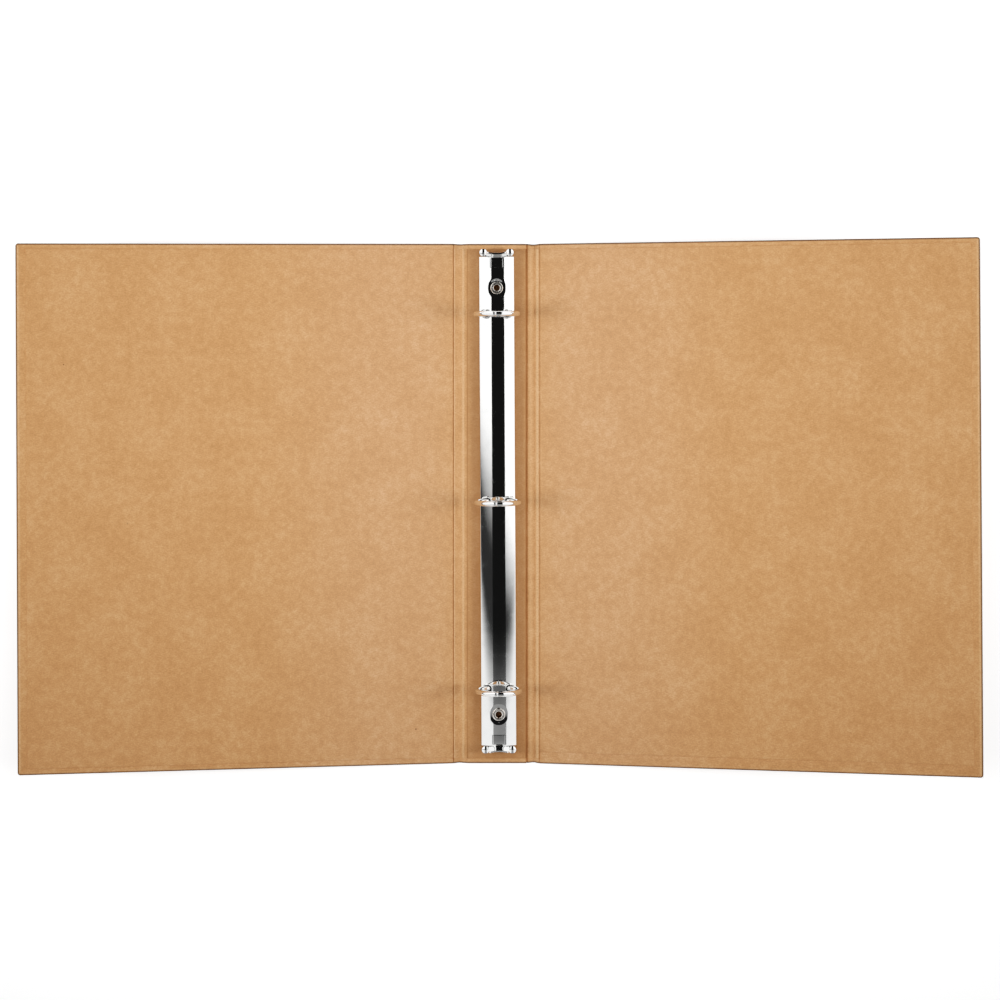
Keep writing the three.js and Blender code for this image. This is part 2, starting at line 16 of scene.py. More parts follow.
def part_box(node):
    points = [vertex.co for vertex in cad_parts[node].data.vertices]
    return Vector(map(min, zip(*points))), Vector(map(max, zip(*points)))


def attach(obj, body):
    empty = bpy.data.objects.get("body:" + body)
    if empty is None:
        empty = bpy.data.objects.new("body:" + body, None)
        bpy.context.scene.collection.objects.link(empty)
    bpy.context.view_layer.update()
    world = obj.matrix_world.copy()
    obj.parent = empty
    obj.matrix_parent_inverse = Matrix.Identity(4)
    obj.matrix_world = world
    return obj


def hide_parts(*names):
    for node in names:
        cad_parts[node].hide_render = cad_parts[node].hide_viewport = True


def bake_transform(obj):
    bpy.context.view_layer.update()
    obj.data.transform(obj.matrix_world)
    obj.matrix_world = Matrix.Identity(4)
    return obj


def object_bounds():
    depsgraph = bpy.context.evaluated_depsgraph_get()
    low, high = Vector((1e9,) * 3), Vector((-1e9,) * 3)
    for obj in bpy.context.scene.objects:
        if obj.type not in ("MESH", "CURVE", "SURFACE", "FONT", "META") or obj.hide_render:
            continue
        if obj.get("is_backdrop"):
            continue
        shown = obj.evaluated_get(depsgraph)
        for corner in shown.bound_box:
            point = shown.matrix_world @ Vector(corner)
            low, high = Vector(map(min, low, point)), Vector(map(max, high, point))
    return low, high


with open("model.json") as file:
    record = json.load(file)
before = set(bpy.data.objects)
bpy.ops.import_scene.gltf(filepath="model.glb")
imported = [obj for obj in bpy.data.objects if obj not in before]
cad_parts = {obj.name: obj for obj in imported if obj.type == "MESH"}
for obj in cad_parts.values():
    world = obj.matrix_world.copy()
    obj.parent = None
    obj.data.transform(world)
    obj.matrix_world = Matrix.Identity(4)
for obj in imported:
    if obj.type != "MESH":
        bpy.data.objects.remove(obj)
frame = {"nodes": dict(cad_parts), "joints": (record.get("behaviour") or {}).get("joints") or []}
cad_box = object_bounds()

MM = 0.001

# ---- sizes, in metres ---------------------------------------------------------------------------------

# paper and boards
PAPER = 0.28 * MM                   # thickness of one sheet
TURN_IN = 15 * MM
CORNER_RADIUS = 1.6 * MM            # corners of a cover in plan
CORNER_STEPS = 6                    # steps in half a corner
EDGE_RADIUS = 0.9 * MM              # rounding of the paper over the edge of a board
FLAP_LIFT = 0.14 * MM               # the fore-edge flap lies on the ends of the other two
LINER_SINK = 0.12 * MM              # the liner sinks inside the turned-in edges
LINER_EDGE_DROP = 0.14 * MM
LINER_MARGIN = {"front": (5.5 * MM, 3.6 * MM, 3 * MM),      # at the fore-edge, tail and head
                "back": (4.9 * MM, 6.8 * MM, 3 * MM)}
SPINE_LINER_MARGIN = 3 * MM
EDGE_PAINTED_SHADE = 0.95                    # painted shade on the outermost rounded edge of the paper
HEAD_EDGE_HIGHLIGHT = 0.2                 # rub and painted highlight at head and tail, against 1 along the fore-edges that face the side lamps
LINER_CLEARANCE = 0.08 * MM         # between the pressed liner and the wrap's flap under it

# the pressed groove across a hinge gap, by share of the way from the spine to the cover: its depth in mm,
# its ridges, lightened by rubbed wear and a painted highlight (place, half width, strength), and how dark
# the painted shade in its creases at both ends is
GROOVE_DEPTH = {
    "front": [(0, 0.12), (0.06, 0.42), (0.14, 0.55), (0.22, 0.4), (0.29, 0.3), (0.4, 0.62), (0.55, 0.85),
              (0.72, 0.7), (0.82, 0.45), (0.9, 0.33), (0.95, 0.45), (0.98, 0.8), (0.993, 0.75), (1, 0.15)],
    "back": [(0, 0.16), (0.012, 0.8), (0.035, 1.2), (0.08, 0.9), (0.16, 0.5), (0.3, 0.4), (0.45, 0.65),
             (0.57, 0.95), (0.64, 0.7), (0.72, 0.35), (0.82, 0.3), (0.93, 0.34), (0.975, 0.5), (0.992, 0.55),
             (1, 0.14)]}
GROOVE_RIDGE_HIGHLIGHTS = {"front": [(0.29, 0.13, 1.0), (0.91, 0.07, 1.0)],
                 "back": [(0.33, 0.2, 0.4), (0.81, 0.17, 1.0)]}
CREASE_SHADES = {"front": (1.0, 0.5), "back": (1.3, 0.45)}
EDGE_DIP_WIDTH = 0.7 * MM           # the liners on the boards dip towards a groove
GAP_PULL = {"front": 0.2 * MM, "back": 0.4 * MM}    # head and tail of the wrap pull in between two boards
PLATE_SHADE_FALL = {-1: 0.42, 1: 0.15}               # how fast the painted shade beside the plate fades away from it
PLATE_SHADE_IN_GROOVE = 0.4               # painted shade from beside the plate that reaches into the grooves

# ring metal
METAL_TURN = math.radians(0.28)      # the mechanism sits a hair askew on the spine
PLATE_SHEET = 0.7 * MM
PLATE_ARCH_RADIUS = 20 * MM
PLATE_ARCH_HALF_WIDTH = 9.6 * MM
PLATE_SHOULDER_RADIUS = 0.6 * MM
PLATE_CURL_RADIUS = 0.6 * MM
PLATE_CURL_TURN = math.radians(130)
PLATE_LIP = 0.7 * MM
DIMPLE_RADIUS = 5.7 * MM
DIMPLE_FLOOR_RADIUS = 3.9 * MM
DIMPLE_DEPTH = 0.62 * MM
TONGUE_HALF_WIDTH = 3.4 * MM
TONGUE_ROOT = 0.9 * MM
TONGUE_LENGTH = 5.2 * MM
TONGUE_GAP = 0.25 * MM
TONGUE_DROP = 0.1 * MM
SLOT_INNER = 4 * MM
SLOT_OUTER = 9.3 * MM
SLOT_HALF_WIDTH = 1.95 * MM
ARCH_DEPTH = 3.2 * MM               # the arch lies within this depth below the plate's top
CUT_DEPTH = 4 * MM                  # of the cutters for slots and rivet holes

WIRE_RADIUS = 1.5 * MM
RING_RADIUS = 12 * MM
RING_FOOT_ANGLE = math.radians(-57)
RING_SEAM_X = -0.8 * MM
RING_SEAM_GAP = 0.1 * MM
# where two half rings meet, the right one ends in a pin and the left one in a cup:
# (angle past the seam, radius in mm), from the middle outwards
RING_TIPS = {1: [(0.092, 0), (0.09, 0.36), (0.082, 0.45), (0, 0.85), (0, 1.36)],
             -1: [(-0.105, 0), (-0.105, 0.6), (0, 1.0), (0, 1.36)]}
RING_TIP_CHAMFER = 0.012            # as an angle round the ring
BLADE_LEAN = math.radians(7.5)
FOOT_REACH = 3.45 * MM              # from the blade's swing axis to the foot of the wire
FOOT_LIFT = 0.6 * MM
FOOT_BEND = 0.95 * MM               # larger is a rounder bend
SPIGOT_RADIUS = 0.9 * MM
SPIGOT_LENGTH = 1.2 * MM
RING_STEPS = 64
FOOT_STEPS = 10
WIRE_SIDES = 36

LEVER_SHEET = 0.8 * MM
LEVER_OUT = 1.7 * MM                # from the end of the plate to the top of the lever
LEVER_TAB_HALF_WIDTH = 5.8 * MM
LEVER_TAB_LOW = 9.6 * MM
LEVER_TAB_CORNER = 1.2 * MM
LEVER_SETBACK = 1.1 * MM            # the foot of the lever stands nearer the plate than its top edge
LEVER_TOP_BOW = 0.3 * MM            # the top edge bows towards the plate in its middle
LEVER_DISH = 0.9 * MM               # and the tab is pressed in below it
LEVER_ROLL_X = 7.7 * MM             # a short solid roll stands on either side of the foot
LEVER_ROLL_Y = 0.75 * MM
LEVER_ROLL_RADIUS = 2.15 * MM
LEVER_ROLL_DOME = math.radians(38)  # slope of its domed end at the rim
LEVER_ROLL_RIM = 0.25 * MM
LEVER_FOOT_LIFT = 0.7 * MM
LEVER_DISH_HALF_WIDTH = 5.6 * MM
LEVER_PRONG = 0.8 * MM
LEVER_PRONG_INNER = 4.4 * MM        # the prongs leave the foot outside of this
LEVER_ROLL_LOW = 5.2 * MM
LEVER_ROLL_HIGH = 8.8 * MM

RIVET_SHANK_RADIUS = 2.5 * MM
RIVET_BORE_RADIUS = 1.75 * MM
RIVET_COLLAR_RADIUS = 3.6 * MM
RIVET_COLLAR_ROLL = 0.45 * MM
RIVET_HEAD_RADIUS = 5 * MM
RIVET_HEAD_HEIGHT = 0.8 * MM
RIVET_HEAD_ROUND = 0.35 * MM
RIVET_BORE_FLOOR = 2.1 * MM         # above the head's outer face
RIVET_COLLAR_GAP = 0.05 * MM
RIVET_WOBBLE = 0.16 * MM            # the flared collar is uneven

# view
CAMERA_PLACE = (0.75 * MM, 92.75 * MM, 1303.2 * MM)
CAMERA_LENS = 80.82
CAMERA_SHIFT = (0.002, -0.1565)

# studio
LIGHT_SIDE = 1.3
LIGHT_ALONG = 0.03
LIGHT_HEIGHT = 0.8
LIGHT_AIM = (0, 0.19, 0)
LIGHT_CONE = math.radians(52)
LIGHT_RADIUS = 0.3
LIGHT_POWER = 58.5
TOP_LIGHT_PLACE = (0, 0.08, 0.45)
TOP_LIGHT_SIZE = 0.3
TOP_LIGHT_POWER = 0.72
FLOOR_REACH = 3.0
FLOOR_DROP = 0.05 * MM
FLOOR_GLOW = 0.7
WORLD_STRENGTH = 0.2
SKY_HEIGHT = 1.0
SKY_STEP = 0.1
SKY_REACH = 6.0
FLAG_EDGES = (-0.32, 0.46)          # the black flag between the two softboxes, across the album
FLAG_FAN_START = 0.5                # it fans out farther away, so that the rings mirror it in full
FLAG_GLOW = 0.014
FLAG_TAIL_SHARE = 0.28              # the flag lets this much of the tail softbox through
# three even softboxes; an edge runs along Y from dark to full brightness
SKY_DIM = 0.05
LEFT_SOFTBOX_GLOW = 1.4
LEFT_SOFTBOX_EDGE = (-0.13, 0.02)
RIGHT_SOFTBOX_GLOW = 1.5
RIGHT_SOFTBOX_EDGE = (-0.2, -0.05)
RIGHT_SOFTBOX_SLANT = 0.09          # it stands a little askew over the album
TAIL_SOFTBOX_GLOW = 1.1
TAIL_SOFTBOX_EDGE = (0.2, 0.33)     # towards the tail
# scene light and the light shown for it
TONE_CURVE = [(0, 0), (0.06, 0.035), (0.12, 0.095), (0.18, 0.162), (0.25, 0.241), (0.34, 0.34),
              (0.45, 0.446), (0.6, 0.578), (0.75, 0.697), (0.9, 0.806), (1.2, 1)]


# ---- places worked out from the frame -----------------------------------------------------------------

def joint(name):
    return next(j for j in frame["joints"] if j["name"] == name)


def smooth(value, low=0.0, high=1.0):
    share = min(max((value - low) / (high - low), 0), 1)
    return share * share * (3 - 2 * share)


WRAP_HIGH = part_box("spine_wrap")[1]
HALF_HEIGHT = WRAP_HIGH.y
FLAP_TOP = WRAP_HIGH.z
LINER_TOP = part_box("spine_liner")[1].z
SPINE_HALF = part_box("spine_board")[1].x
PLATE_LOW, PLATE_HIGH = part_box("ring_plate")
METAL_X = (PLATE_LOW.x + PLATE_HIGH.x) / 2
METAL_Y = (PLATE_LOW.y + PLATE_HIGH.y) / 2
PLATE_HALF_LENGTH = (PLATE_HIGH.y - PLATE_LOW.y) / 2
PLATE_TOP = PLATE_HIGH.z
PLATE_BOTTOM = PLATE_LOW.z
TONGUE_ROOT_Y = PLATE_HALF_LENGTH - TONGUE_ROOT
TONGUE_FREE_Y = TONGUE_ROOT_Y - TONGUE_LENGTH
RIVET_YS = [sum((corner.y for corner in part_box(f"{end}_rivet"))) / 2 for end in ("head", "tail")]
RING_YS = [sum((corner.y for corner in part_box(f"left_half_ring_{i}"))) / 2 for i in (1, 2, 3)]
RING_CENTRE_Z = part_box("left_half_ring_1")[1].z - RING_RADIUS - WIRE_RADIUS
METAL_TURNING = (Matrix.Translation((METAL_X, METAL_Y, 0)) @ Matrix.Rotation(METAL_TURN, 4, "Z")
                 @ Matrix.Translation((-METAL_X, -METAL_Y, 0)))
RIVET_PLACES = [METAL_TURNING @ Vector((METAL_X, y, 0)) for y in RIVET_YS]


class Cover:
    """A cover's own flat frame: u runs out from the hinge axis, v to the head, height up from outside."""

    def __init__(self, name, side):
        hinge = joint(f"{name}_cover_hinge")
        self.name = name
        self.side = side
        self.body = f"{name}_cover"
        self.axis_x = abs(hinge["pos_m"][0])
        self.axis_z = hinge["pos_m"][2]
        self.angle = -math.radians(hinge["range_deg"][0])
        self.near = self.axis_x - SPINE_HALF
        corners = [self.unfold(v.co) for v in frame["nodes"][f"{name}_cover_wrap"].data.vertices]
        head_reach = max(u for u, y in corners if y > 0)
        tail_reach = max(u for u, y in corners if y < 0)
        self.reach = (head_reach + tail_reach) / 2
        self.slope = (tail_reach - head_reach) / (2 * HALF_HEIGHT)

    def unfold(self, place):
        across = self.side * place.x - self.axis_x
        above = place.z - self.axis_z
        return across * math.cos(self.angle) + above * math.sin(self.angle), place.y

    def turned(self, across, above, angle, v):
        x = across * math.cos(angle) - above * math.sin(angle) + self.axis_x
        z = across * math.sin(angle) + above * math.cos(angle) + self.axis_z
        return Vector((self.side * x, v, z))

    def place(self, u, v, height):
        share = min(max((u - self.near) / (self.reach - self.near), 0), 1)
        across = u - self.slope * v * share
        along = v + self.slope * max(u - self.near, 0)
        return self.turned(across, height - self.axis_z, self.angle, along)

    def place_in_hinge(self, across, v, height):
        angle = self.angle * smooth(across, -self.near, self.near)
        return self.turned(across, height - self.axis_z, angle, v)


COVERS = [Cover("front", -1), Cover("back", 1)]


# ---- mesh tools ---------------------------------------------------------------------------------------

def lines(low, high, step, extras=()):
    """Evenly spaced positions from low to high, with extra ones kept at least a hair apart."""
    count = max(round((high - low) / step), 1)
    positions = [low + (high - low) * i / count for i in range(count + 1)]
    positions += [extra for extra in extras if low < extra < high]
    kept = []
    for position in sorted(positions):
        if not kept or position - kept[-1] > 0.02 * MM:
            kept.append(position)
    return kept


def grid_faces(rows, columns, first=0, closed=False):
    faces = []
    for row in range(rows - 1):
        for column in range(columns if closed else columns - 1):
            following = (column + 1) % columns
            start = first + row * columns
            faces.append((start + column, start + following, start + columns + following,
                          start + columns + column))
    return faces


def new_object(name, points, faces, material=None):
    mesh = bpy.data.meshes.new(name)
    mesh.from_pydata([tuple(point) for point in points], [], faces)
    if material:
        mesh.materials.append(material)
    made = bpy.data.objects.new(name, mesh)
    bpy.context.scene.collection.objects.link(made)
    return made


def mark_points(made, mark, values):
    """Stores one number for each point, which a material reads as an attribute."""
    attribute = made.data.attributes.new(mark, "FLOAT", "POINT")
    attribute.data.foreach_set("value", values)


def make_piece(name, points, faces, material, flat_places=None, marks=None):
    """A tidy mesh object; its material reads flat_places and marks as attributes."""
    piece = new_object(name, points, faces, material)
    if flat_places:
        attribute = piece.data.attributes.new("flat_place", "FLOAT_VECTOR", "POINT")
        attribute.data.foreach_set("vector", [value / MM for place in flat_places for value in place])
    for mark, values in (marks or {}).items():
        mark_points(piece, mark, values)
    tidy_mesh(piece)
    return piece


def tidy_mesh(piece):
    """Merges doubled points and turns all faces outwards, judged by the lowest face."""
    work = bmesh.new()
    work.from_mesh(piece.data)
    bmesh.ops.remove_doubles(work, verts=work.verts, dist=0.002 * MM)
    bmesh.ops.dissolve_degenerate(work, edges=work.edges, dist=0.001 * MM)
    bmesh.ops.recalc_face_normals(work, faces=work.faces)
    lowest = min(work.faces, key=lambda face: face.calc_center_median().z)
    if lowest.normal.z > 0:
        bmesh.ops.reverse_faces(work, faces=work.faces)
    work.to_mesh(piece.data)
    work.free()


def bake_modifiers(piece):
    depsgraph = bpy.context.evaluated_depsgraph_get()
    final = bpy.data.meshes.new_from_object(
        piece.evaluated_get(depsgraph), preserve_all_data_layers=True, depsgraph=depsgraph)
    piece.modifiers.clear()
    piece.data = final


def thicken(piece, thickness, offset=-1):
    modifier = piece.modifiers.new("thickness", "SOLIDIFY")
    modifier.thickness = thickness
    modifier.offset = offset
    modifier.use_even_offset = True
    bake_modifiers(piece)


def soften_edges(piece, width, segments=2):
    modifier = piece.modifiers.new("soft edges", "BEVEL")
    modifier.width = width
    modifier.segments = segments
    modifier.limit_method = "ANGLE"
    modifier.angle_limit = math.radians(50)
    bake_modifiers(piece)


def shade(piece, angle=math.radians(40)):
    piece.data.polygons.foreach_set("use_smooth", [True] * len(piece.data.polygons))
    piece.data.set_sharp_from_angle(angle=angle)


def round_prism(centre, radius, stretch, low, high, sides=32):
    """An upright cutter: a circle, or with a stretch along X a slot with round ends."""
    points = []
    for z in (low, high):
        for i in range(sides):
            angle = 2 * math.pi * i / sides
            shift = stretch if math.cos(angle) > 0 else -stretch
            points.append((centre[0] + shift + radius * math.cos(angle),
                           centre[1] + radius * math.sin(angle), z))
    faces = grid_faces(2, sides, closed=True)
    faces += [tuple(reversed(range(sides))), tuple(range(sides, 2 * sides))]
    return new_object("cutter", points, faces)


def punch(piece, cutters):
    for cutter in cutters:
        modifier = piece.modifiers.new("hole", "BOOLEAN")
        modifier.operation = "DIFFERENCE"
        modifier.solver = "EXACT"
        modifier.object = cutter
    bake_modifiers(piece)
    for cutter in cutters:
        bpy.data.objects.remove(cutter)


def lathe(profile, centre, sides=64, wobble=None):
    """Points and faces of a turned solid; the profile runs from axis to axis as (radius, z)."""
    points = []
    for radius, z in profile:
        for i in range(sides):
            angle = 2 * math.pi * i / sides
            reach = radius + (wobble(radius, z, angle) if wobble else 0)
            points.append((centre[0] + reach * math.cos(angle), centre[1] + reach * math.sin(angle), z))
    return points, grid_faces(len(profile), sides, closed=True)


def arc(centre, radius, start, end, steps):
    """Points of an arc as (a, b) pairs, with angles in radians."""
    turns = [start + (end - start) * i / steps for i in range(steps + 1)]
    return [(centre[0] + radius * math.cos(turn), centre[1] + radius * math.sin(turn)) for turn in turns]


# ---- materials ----------------------------------------------------------------------------------------

class Nodes:
    """A small helper that adds and links shader nodes of one material."""

    def __init__(self, name):
        self.material = bpy.data.materials.new(name)
        self.material.use_nodes = True
        self.tree = self.material.node_tree
        self.shader = self.tree.nodes["Principled BSDF"]

    def add(self, kind, inputs=None, **settings):
        node = self.tree.nodes.new(kind)
        for key, value in settings.items():
            setattr(node, key, value)
        for key, value in (inputs or {}).items():
            self.feed(value, node.inputs[key])
        return node

    def feed(self, value, socket):
        if isinstance(value, bpy.types.NodeSocket):
            self.tree.links.new(value, socket)
        else:
            socket.default_value = value

    def attribute(self, name):
        return self.add("ShaderNodeAttribute", attribute_name=name, attribute_type="GEOMETRY")

    def mapped(self, vector, scale=(1, 1, 1), rotation=(0, 0, 0), location=(0, 0, 0)):
        turned = tuple(math.radians(angle) for angle in rotation)
        inputs = {"Vector": vector, "Scale": scale, "Rotation": turned, "Location": location}
        return self.add("ShaderNodeMapping", inputs).outputs["Vector"]

    def noise(self, vector, scale, detail=2.0, roughness=0.5, distortion=0.0):
        inputs = {"Vector": vector, "Scale": scale, "Detail": detail, "Roughness": roughness,
                  "Distortion": distortion}
        return self.add("ShaderNodeTexNoise", inputs).outputs["Fac"]

    def object_place(self):
        """Place on the object, in millimetres."""
        return self.mapped(self.add("ShaderNodeTexCoord").outputs["Object"], scale=(1 / MM, 1 / MM, 1 / MM))

    def math(self, operation, first, second=0.0):
        return self.add("ShaderNodeMath", {0: first, 1: second}, operation=operation).outputs[0]

    def plus(self, first, second):
        return self.math("ADD", first, second)

    def times(self, first, second):
        return self.math("MULTIPLY", first, second)

    def spread(self, value, low, high, to_low=0.0, to_high=1.0):
        inputs = {"Value": value, "From Min": low, "From Max": high, "To Min": to_low, "To Max": to_high}
        return self.add("ShaderNodeMapRange", inputs, interpolation_type="SMOOTHSTEP").outputs[0]

    def mix_colour(self, share, first, second, blend="MIX"):
        node = self.add("ShaderNodeMix", data_type="RGBA", blend_type=blend)
        self.feed(share, node.inputs[0])
        self.feed(first, node.inputs[6])
        self.feed(second, node.inputs[7])
        return node.outputs[2]

    def bump(self, height, distance, strength=1.0, normal=None):
        inputs = {"Height": height, "Distance": distance, "Strength": strength}
        if normal is not None:
            inputs["Normal"] = normal
        return self.add("ShaderNodeBump", inputs).outputs["Normal"]

    def finish(self, colour, roughness, normal, **constants):
        self.feed(colour, self.shader.inputs["Base Color"])
        self.feed(roughness, self.shader.inputs["Roughness"])
        self.feed(normal, self.shader.inputs["Normal"])
        for key, value in constants.items():
            self.shader.inputs[key.replace("_", " ")].default_value = value
        return self.material


KRAFT = (0.60, 0.307, 0.139, 1)
KRAFT_LIGHT = (0.76, 0.47, 0.26, 1)
KRAFT_DARK = (0.34, 0.165, 0.068, 1)
KRAFT_EDGE_SHADE = (0.14, 0.085, 0.048, 1)
KRAFT_PAINTED_SHEEN = (1.035, 1.075, 1.19, 1)   # painted sheen: beside the spine the paper is made a little lighter and greyer
KRAFT_SHEEN_START = (15, 45)            # mm from the middle of the spine
KRAFT_SHEEN_END = (60, 150)


def fibres(nodes, place, turn, offset, length=9.0):
    """One layer of long thin fibres that lie along a given direction."""
    stretched = nodes.mapped(place, scale=(1 / length, 1, 1), rotation=(0, 0, turn), location=offset)
    return nodes.noise(stretched, 4.5, detail=2.0, roughness=0.6, distortion=0.4)


def kraft_paper(name, layer):
    """Unbleached kraft: crossed fibres, cloudy formation, specks, ridges lightened by wear and a painted
    highlight, painted shade in creases, along the plate and on the outer edges, and a painted sheen beside
    the spine.
    """
    nodes = Nodes(name)
    flat_place = nodes.attribute("flat_place").outputs["Vector"]
    place = nodes.mapped(flat_place, location=(0, 0, layer))
    clouds = nodes.noise(place, 0.035, detail=2.0, roughness=0.5)
    blotches = nodes.noise(place, 0.22, detail=3.0, roughness=0.6)
    grain = nodes.noise(place, 1.15, detail=3.0, roughness=0.65)
    along = fibres(nodes, place, 8, (3, 0, 0))
    across = fibres(nodes, place, 97, (0, 7, 0))
    slanted = fibres(nodes, place, 48, (5, 5, 0))

    tone = nodes.spread(clouds, 0.3, 0.7, -0.3, 0.3)
    tone = nodes.plus(tone, nodes.spread(blotches, 0.25, 0.75, -0.55, 0.55))
    tone = nodes.plus(tone, nodes.spread(grain, 0.2, 0.8, -0.9, 0.9))
    for layer_of_fibres in (along, across, slanted):
        tone = nodes.plus(tone, nodes.spread(layer_of_fibres, 0.25, 0.75, -0.5, 0.5))
    lighter = nodes.times(nodes.math("MAXIMUM", tone, 0.0), 0.42)
    darker = nodes.times(nodes.math("MAXIMUM", nodes.times(tone, -1.0), 0.0), 0.27)
    colour = nodes.mix_colour(lighter, KRAFT, KRAFT_LIGHT)
    colour = nodes.mix_colour(darker, colour, KRAFT_DARK)
    # painted sheen: the paper is made lighter and greyer beside the spine
    flat = nodes.add("ShaderNodeSeparateXYZ", {"Vector": flat_place})
    from_spine = nodes.math("ABSOLUTE", flat.outputs["X"])
    sheen_share = nodes.times(nodes.spread(from_spine, *KRAFT_SHEEN_START, 0.35, 1.0),
                        nodes.spread(from_spine, *KRAFT_SHEEN_END, 1.0, 0.0))
    colour = nodes.mix_colour(sheen_share, colour, KRAFT_PAINTED_SHEEN, "MULTIPLY")

    cells = nodes.add("ShaderNodeTexVoronoi", {"Vector": place, "Scale": 0.085, "Randomness": 1.0})
    chosen = nodes.add("ShaderNodeSeparateColor", {"Color": cells.outputs["Color"]})
    size = nodes.times(nodes.math("POWER", chosen.outputs[0], 9.0), 0.042)
    speck = nodes.math("LESS_THAN", cells.outputs["Distance"], size)
    speck = nodes.times(speck, nodes.spread(chosen.outputs[1], 0.1, 0.9, 0.35, 0.9))
    colour = nodes.mix_colour(speck, colour, (0.16, 0.075, 0.03, 1))
    chips = nodes.add("ShaderNodeTexVoronoi", {"Vector": place, "Scale": 0.5, "Randomness": 1.0})
    chip_cell = nodes.add("ShaderNodeSeparateColor", {"Color": chips.outputs["Color"]})
    chip_size = nodes.times(nodes.math("POWER", chip_cell.outputs[0], 6.0), 0.14)
    chip = nodes.math("LESS_THAN", chips.outputs["Distance"], chip_size)
    chip_colour = nodes.mix_colour(nodes.math("GREATER_THAN", chip_cell.outputs[1], 0.45), KRAFT_DARK,
                                   KRAFT_LIGHT)
    colour = nodes.mix_colour(nodes.times(chip, 0.28), colour, chip_colour)

    # ridges and board edges lightened by rubbed wear and a painted highlight
    worn_and_highlit = nodes.times(nodes.attribute("wear_and_highlight").outputs["Fac"], nodes.spread(grain, 0.2, 0.6))
    colour = nodes.mix_colour(nodes.times(worn_and_highlit, 0.9), colour, KRAFT_LIGHT)
    # painted shade in the creases of the grooves and along the plate
    painted_shade_share = nodes.attribute("painted_shade").outputs["Fac"]
    colour = nodes.mix_colour(nodes.times(painted_shade_share, 0.45), colour, KRAFT_DARK)
    # painted shade on the outermost rounded edges of the paper
    colour = nodes.mix_colour(nodes.attribute("edge_shade").outputs["Fac"], colour, KRAFT_EDGE_SHADE)

    weave = nodes.plus(nodes.plus(along, across), slanted)
    normal = nodes.bump(blotches, 0.12 * MM, 0.5)
    normal = nodes.bump(grain, 0.06 * MM, 0.5, normal)
    normal = nodes.bump(weave, 0.03 * MM, 0.6, normal)
    roughness = nodes.spread(grain, 0.2, 0.8, 0.56, 0.72)
    return nodes.finish(colour, roughness, normal, Specular_IOR_Level=0.5)


def polished_metal(name, colour, roughness, scratch_turn=90, waviness=0.02 * MM, smudges=0.06):
    """Plated metal: fine scratches along the piece, faint smudges and a slightly wavy surface."""
    nodes = Nodes(name)
    place = nodes.object_place()
    scratched = nodes.mapped(place, scale=(0.05, 6, 6), rotation=(0, 0, scratch_turn))
    scratches = nodes.noise(scratched, 1.5, detail=4.0, roughness=0.7)
    patches = nodes.noise(place, 0.12, detail=3.0, roughness=0.6)
    waves = nodes.noise(place, 0.09, detail=1.0)
    pits = nodes.noise(place, 2.4, detail=3.0, roughness=0.7)
    tint = nodes.mix_colour(nodes.spread(patches, 0.35, 0.7, 0.0, 0.25), colour,
                            (colour[0] * 0.86, colour[1] * 0.87, colour[2] * 0.88, 1))
    tint = nodes.mix_colour(nodes.spread(scratches, 0.62, 0.78, 0.0, 0.22), tint, (0.5, 0.5, 0.5, 1))
    rough = nodes.plus(nodes.spread(patches, 0.5, 0.75, roughness, roughness + smudges),
                       nodes.spread(scratches, 0.55, 0.8, 0.0, 0.05))
    normal = nodes.bump(waves, waviness, 0.6)
    normal = nodes.bump(nodes.plus(scratches, nodes.times(pits, 0.5)), 0.002 * MM, 0.5, normal)
    return nodes.finish(tint, rough, normal, Metallic=1.0)


def rivet_metal():
    """Nickel-plated rivet, dull and brown inside its bore."""
    nodes = Nodes("rivet_nickel")
    place = nodes.object_place()
    dents = nodes.noise(place, 0.55, detail=2.0)
    grit = nodes.noise(place, 5.0, detail=3.0, roughness=0.7)
    bore = nodes.attribute("bore").outputs["Fac"]
    colour = nodes.mix_colour(nodes.spread(grit, 0.3, 0.8, 0.0, 0.3), (0.90, 0.87, 0.82, 1),
                              (0.6, 0.55, 0.48, 1))
    colour = nodes.mix_colour(bore, colour, (0.55, 0.40, 0.27, 1))
    rough = nodes.plus(nodes.spread(grit, 0.3, 0.8, 0.22, 0.36), nodes.times(bore, 0.2))
    normal = nodes.bump(dents, 0.25 * MM, 0.55)
    normal = nodes.bump(grit, 0.004 * MM, 0.5, normal)
    return nodes.finish(colour, rough, normal, Metallic=1.0)


def blade_steel():
    """Bare rolled steel strip, brushed along its length."""
    nodes = Nodes("blade_steel")
    place = nodes.object_place()
    brushed = nodes.noise(nodes.mapped(place, scale=(5, 0.05, 5)), 2.0, detail=4.0, roughness=0.7)
    stains = nodes.noise(place, 0.1, detail=3.0)
    colour = nodes.mix_colour(nodes.spread(brushed, 0.3, 0.7), (0.50, 0.51, 0.52, 1), (0.62, 0.62, 0.62, 1))
    colour = nodes.mix_colour(nodes.spread(stains, 0.5, 0.75, 0.0, 0.4), colour, (0.38, 0.36, 0.33, 1))
    rough = nodes.spread(brushed, 0.3, 0.7, 0.28, 0.42)
    return nodes.finish(colour, rough, nodes.bump(brushed, 0.004 * MM, 0.5), Metallic=1.0)


